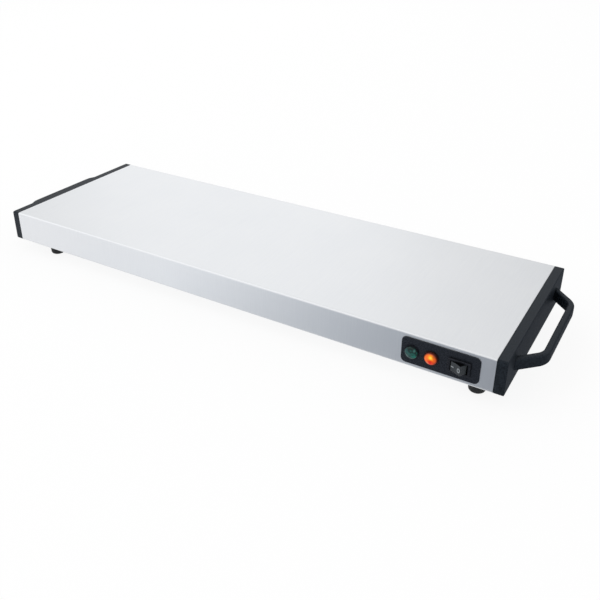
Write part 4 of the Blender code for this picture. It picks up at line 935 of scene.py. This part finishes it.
lay_mark(prism("mark_on", rectangle(*DASH, 0.15 * MM), "Z", -MARK_DEPTH, MARK_PROUD), -1)
ring = turned("mark_off", [(RING_INSIDE, -MARK_DEPTH), (RING_INSIDE, MARK_PROUD),
                           (RING_OUTSIDE, MARK_PROUD), (RING_OUTSIDE, -MARK_DEPTH)])
ring.data.transform(Matrix.Scale(RING_SQUEEZE, 4, (1, 0, 0)))
lay_mark(ring, 1)
print("rocker turns about", [round(c / MM, 2) for c in pivot], "mm")

# %% [markdown]
# ## Signal lamps
# Each lamp is a housing with a thin rim round its lens, and the lens is a low dome. Both are
# turned profiles. The dome is a quarter ellipse with sixteen steps, which keeps its outline as
# smooth as the rim, which is only half a millimetre thick.

# %% Signal lamps
RIM_RADIUS = 7.0 * MM
RIM_WALL = 0.6 * MM
RIM_HEIGHT = 0.9 * MM
RIM_ROUNDING = 0.2 * MM
LAMP_FLANGE = 0.5 * MM
BARREL_LENGTH = 18 * MM
TAIL_RADIUS = 3.0 * MM
TAIL_LENGTH = 6 * MM
CROWN = 1.7 * MM
DOME_STEPS = 16
bowl = RIM_RADIUS - RIM_WALL
rim_top = LAMP_FLANGE + RIM_HEIGHT
lens_radius = bowl - AIR
housing_profile = [
    (0, -BARREL_LENGTH - TAIL_LENGTH), (TAIL_RADIUS, -BARREL_LENGTH - TAIL_LENGTH),
    (TAIL_RADIUS, -BARREL_LENGTH), (LAMP_BARREL, -BARREL_LENGTH), (LAMP_BARREL, 0),
    (RIM_RADIUS, 0), (RIM_RADIUS, rim_top - RIM_ROUNDING),
    (RIM_RADIUS - RIM_ROUNDING / 3, rim_top - RIM_ROUNDING / 3),
    (RIM_RADIUS - RIM_ROUNDING, rim_top), (bowl + RIM_ROUNDING, rim_top),
    (bowl + RIM_ROUNDING / 3, rim_top - RIM_ROUNDING / 3), (bowl, rim_top - RIM_ROUNDING),
    (bowl, LAMP_FLANGE), (0, LAMP_FLANGE)]
lens_profile = [(0, 0), (lens_radius, 0)]
lens_profile += [(lens_radius * math.cos(turn), RIM_HEIGHT + CROWN * math.sin(turn))
                 for turn in quarter_turn(DOME_STEPS)[:-1]]
lens_profile.append((0, RIM_HEIGHT + CROWN))
for colour, dome_finish, rim_finish in (("orange", orange_dome, rim_nylon_painted_glow),
                                        ("green", green_dome, switch_nylon)):
    middle = centre_of("lamp_lens_" + colour)
    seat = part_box("lamp_housing_" + colour)[0].y + rim_top
    lens_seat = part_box("lamp_lens_" + colour)[1].y
    rim = stand(turned("lamp_rim_" + colour, housing_profile), (middle.x, seat, middle.z),
                (0, -1, 0))
    dress(rim, rim_finish, "switch_plastic", "lamp_housing_" + colour)
    dome = stand(turned("lamp_dome_" + colour, lens_profile), (middle.x, lens_seat, middle.z),
                 (0, -1, 0))
    dress(dome, dome_finish, colour + "_lens", "lamp_lens_" + colour)

# %% [markdown]
# ## Cord gland
# A gland in the rear apron is where the mains cord enters: a turned flange with a soft edge, and a
# bore whose mouth is rounded so that it doesn't cut the sleeve of a cord.

# %% Cord gland
GLAND_BORE = 3.7 * MM
GLAND_FLANGE_RADIUS = 9.0 * MM
GLAND_FLANGE = 3.2 * MM
GLAND_EDGE = 1.0 * MM
GLAND_DEPTH = 16 * MM
MOUTH_ROUNDING = 0.8 * MM
profile = [(GLAND_BORE, -GLAND_DEPTH)]
profile += [(GLAND_BORE + out, GLAND_FLANGE - back) for out, back in rounding(MOUTH_ROUNDING)]
profile += [(GLAND_FLANGE_RADIUS - inset, GLAND_FLANGE - down)
            for down, inset in rounding(GLAND_EDGE, ARC_STEPS)]
profile += [(GLAND_FLANGE_RADIUS, 0), (GLAND_BARREL, 0), (GLAND_BARREL, -GLAND_DEPTH)]
gland = stand(turned("gland_moulding", profile), GLAND_MIDDLE + Vector((0, AIR, 0)), (0, 1, 0))
dress(gland, black_abs, "black_plastic", "cord_gland")

# %% [markdown]
# ## The solids that stay
# The base plate and everything inside already have their right shape in the CAD, so they only get
# their finish: it goes into the material slot of the node's object.

# %% Finishes of the CAD nodes
KEPT = {
    "base_plate": zinc, "handle_screw": zinc, "lamp_nut": zinc, "element_clamp": zinc,
    "clamp_nut": zinc, "thermal_fuse": zinc, "heat_spreader": aluminium,
    "heating_element": sheath, "element_terminal": ceramic, "insulation_mat": glass_fibre,
    "thermostat": phenolic, "terminal_block": ceramic, "earth_nut": brass,
    "gland_nut": black_abs, "lead_supply_live": live_sleeve,
    "lead_supply_neutral": neutral_sleeve, "lead_": heat_sleeve,
}
for start, finish in KEPT.items():
    for node, solid in sorted(frame["nodes"].items()):
        if node.startswith(start) and not (start == "lead_" and "supply" in node):
            for material_slot in solid.material_slots:
                material_slot.material = finish
            print(node, "-", finish.name)

# %% [markdown]
# ## Floor, world and light
# The tray stands on a pale floor in soft light. What a camera, a mirror or a lens sees of floor
# and world is set through Light Path to be white, while the light that they give stays lower, so
# that a colour renders as it is written. Steel shows its surroundings, so painted reflections set
# its shading: cards with painted gradients that only reflections see lie in front and at the right,
# and take the apron there from white to grey, and a dark band at the back right darkens the top
# edges of the caps and grips.

# %% World and floor
SKY_LIGHT = 0.88
FLOOR_SIZE = 6.0
FLOOR_WHITE = 0.86  # how much of the floor is plain white where it is seen
FLOOR_GLOW = 1.02  # just past 1, which makes up for the shadow of the tray on the rest

world = bpy.data.worlds.new("white_studio")
bpy.context.scene.world = world
world.use_nodes = True


def seen_directly(tree_owner):
    """1 for rays from the camera, a reflection or a clear lens, and 0 for light on a surface."""
    path = add_node(tree_owner, "ShaderNodeLightPath")
    seen = path.outputs["Is Camera Ray"]
    for ray in ("Is Glossy Ray", "Is Transmission Ray"):
        seen = add_node(tree_owner, "ShaderNodeMath", [(0, seen), (1, path.outputs[ray])],
                        operation="MAXIMUM").outputs[0]
    return seen


sky = world.node_tree.nodes["Background"]
sky.inputs["Color"].default_value = linear("#ffffff")
strength = add_node(world, "ShaderNodeMapRange", [("Value", seen_directly(world)),
                                                  ("To Min", SKY_LIGHT), ("To Max", 1.0)])
wire(world, sky, Strength=strength.outputs["Result"])


def stage_finish(name):
    """A material with no shader yet."""
    material = bpy.data.materials.new(name)
    material.use_nodes = True
    material.node_tree.nodes.remove(material.node_tree.nodes["Principled BSDF"])
    return material


def show(material, shader_node):
    """Makes a node the surface of a material."""
    wire(material, material.node_tree.nodes["Material Output"], Surface=shader_node.outputs[0])


def level_corners(left, front, right, back, height):
    """The corners of a level rectangle."""
    return [(left, front, height), (right, front, height), (right, back, height),
            (left, back, height)]


def flat_card(name, corners, material):
    """A single face with this material."""
    def fill(bm):
        bm.faces.new([bm.verts.new(corner) for corner in corners])
    card = new_piece(name, fill)
    card.data.materials.append(material)
    return card


floor_paint = stage_finish("pale_floor")
matt = add_node(floor_paint, "ShaderNodeBsdfDiffuse", [("Color", linear("#f2f2f2"))])
white = add_node(floor_paint, "ShaderNodeEmission", [("Color", linear("#ffffff")),
                                                     ("Strength", FLOOR_GLOW)])
share = add_node(floor_paint, "ShaderNodeMath", [(0, seen_directly(floor_paint)),
                                                 (1, FLOOR_WHITE)], operation="MULTIPLY")
mixed = add_node(floor_paint, "ShaderNodeMixShader", [(0, share.outputs[0]),
                                                      (1, matt.outputs[0]),
                                                      (2, white.outputs[0])])
show(floor_paint, mixed)
half_floor = FLOOR_SIZE / 2
flat_card("floor", level_corners(-half_floor, -half_floor, half_floor, half_floor, 0), floor_paint)
print("floor", FLOOR_SIZE, "m wide")

# %% Lamps and dark cards
def softbox(name, place, target, size, power):
    """A square area lamp aimed at a point."""
    lamp = bpy.data.objects.new(name, bpy.data.lights.new(name, "AREA"))
    lamp.data.size = size
    lamp.data.energy = power
    lamp.location = place
    lamp.rotation_euler = (Vector(target) - Vector(place)).to_track_quat("-Z", "Y").to_euler()
    bpy.context.collection.objects.link(lamp)


softbox("front_left_softbox", (-1.4, -0.9, 1.5), (0, 0, 0), 2.4, 7)
softbox("back_left_softbox", (-1.17, 1.61, 0.98), (-0.1, 0, 0.05), 1.4, 1.4)


def dark_card(name, corners, stops, axis, span, brightness=1.0):
    """A card that only reflections see, shaded along an axis from one end of its span."""
    paint = stage_finish(name)
    place = add_node(paint, "ShaderNodeTexCoord")
    parts = add_node(paint, "ShaderNodeSeparateXYZ", [(0, place.outputs["Object"])])
    colour = shades(paint, between(paint, parts.outputs[axis], 0.0, 1.0, span), stops)
    show(paint, add_node(paint, "ShaderNodeEmission", [("Color", colour),
                                                       ("Strength", brightness)]))
    card = flat_card(name, corners, paint)
    for ray in ("camera", "diffuse", "shadow", "transmission"):
        setattr(card, "visible_" + ray, False)


CARD_LEVEL = 1 * MM  # just above the floor
CARD_FRONT = -0.9
CARD_SPLIT = 0.312  # where the front card ends and the right one starts
CARD_REACH = 1.4  # how far the right card goes to the right and back
HORIZON_TOP = 0.55
dark_card("front_card", level_corners(-1.2, CARD_FRONT, CARD_SPLIT, -0.112, CARD_LEVEL),
          [(0.0, "#f8f8f9"), (0.35, "#f0f2f5"), (0.75, "#b1b6bd"), (1.0, "#8f949c")],
          "X", (-0.3, 0.3), 1.17)
dark_card("right_card",
          level_corners(CARD_SPLIT, CARD_FRONT, CARD_REACH, CARD_REACH, CARD_LEVEL),
          [(0.0, "#858a92"), (1.0, "#a9adb3")], "X", (0.35, CARD_REACH))
# Painted reflection: a dark band low at the back right, seen only in reflections, darkens the outer
# top edges of the caps and grips.
dark_card("horizon_card", [(0.1, 1.4, 0), (1.6, 0.9, 0), (1.6, 0.9, HORIZON_TOP),
                           (0.1, 1.4, HORIZON_TOP)],
          [(0.0, "#3a3e44"), (0.6, "#3a3e44"), (1.0, "#c9ccd0")], "Z", (0, HORIZON_TOP))
print("lamps and cards stand")
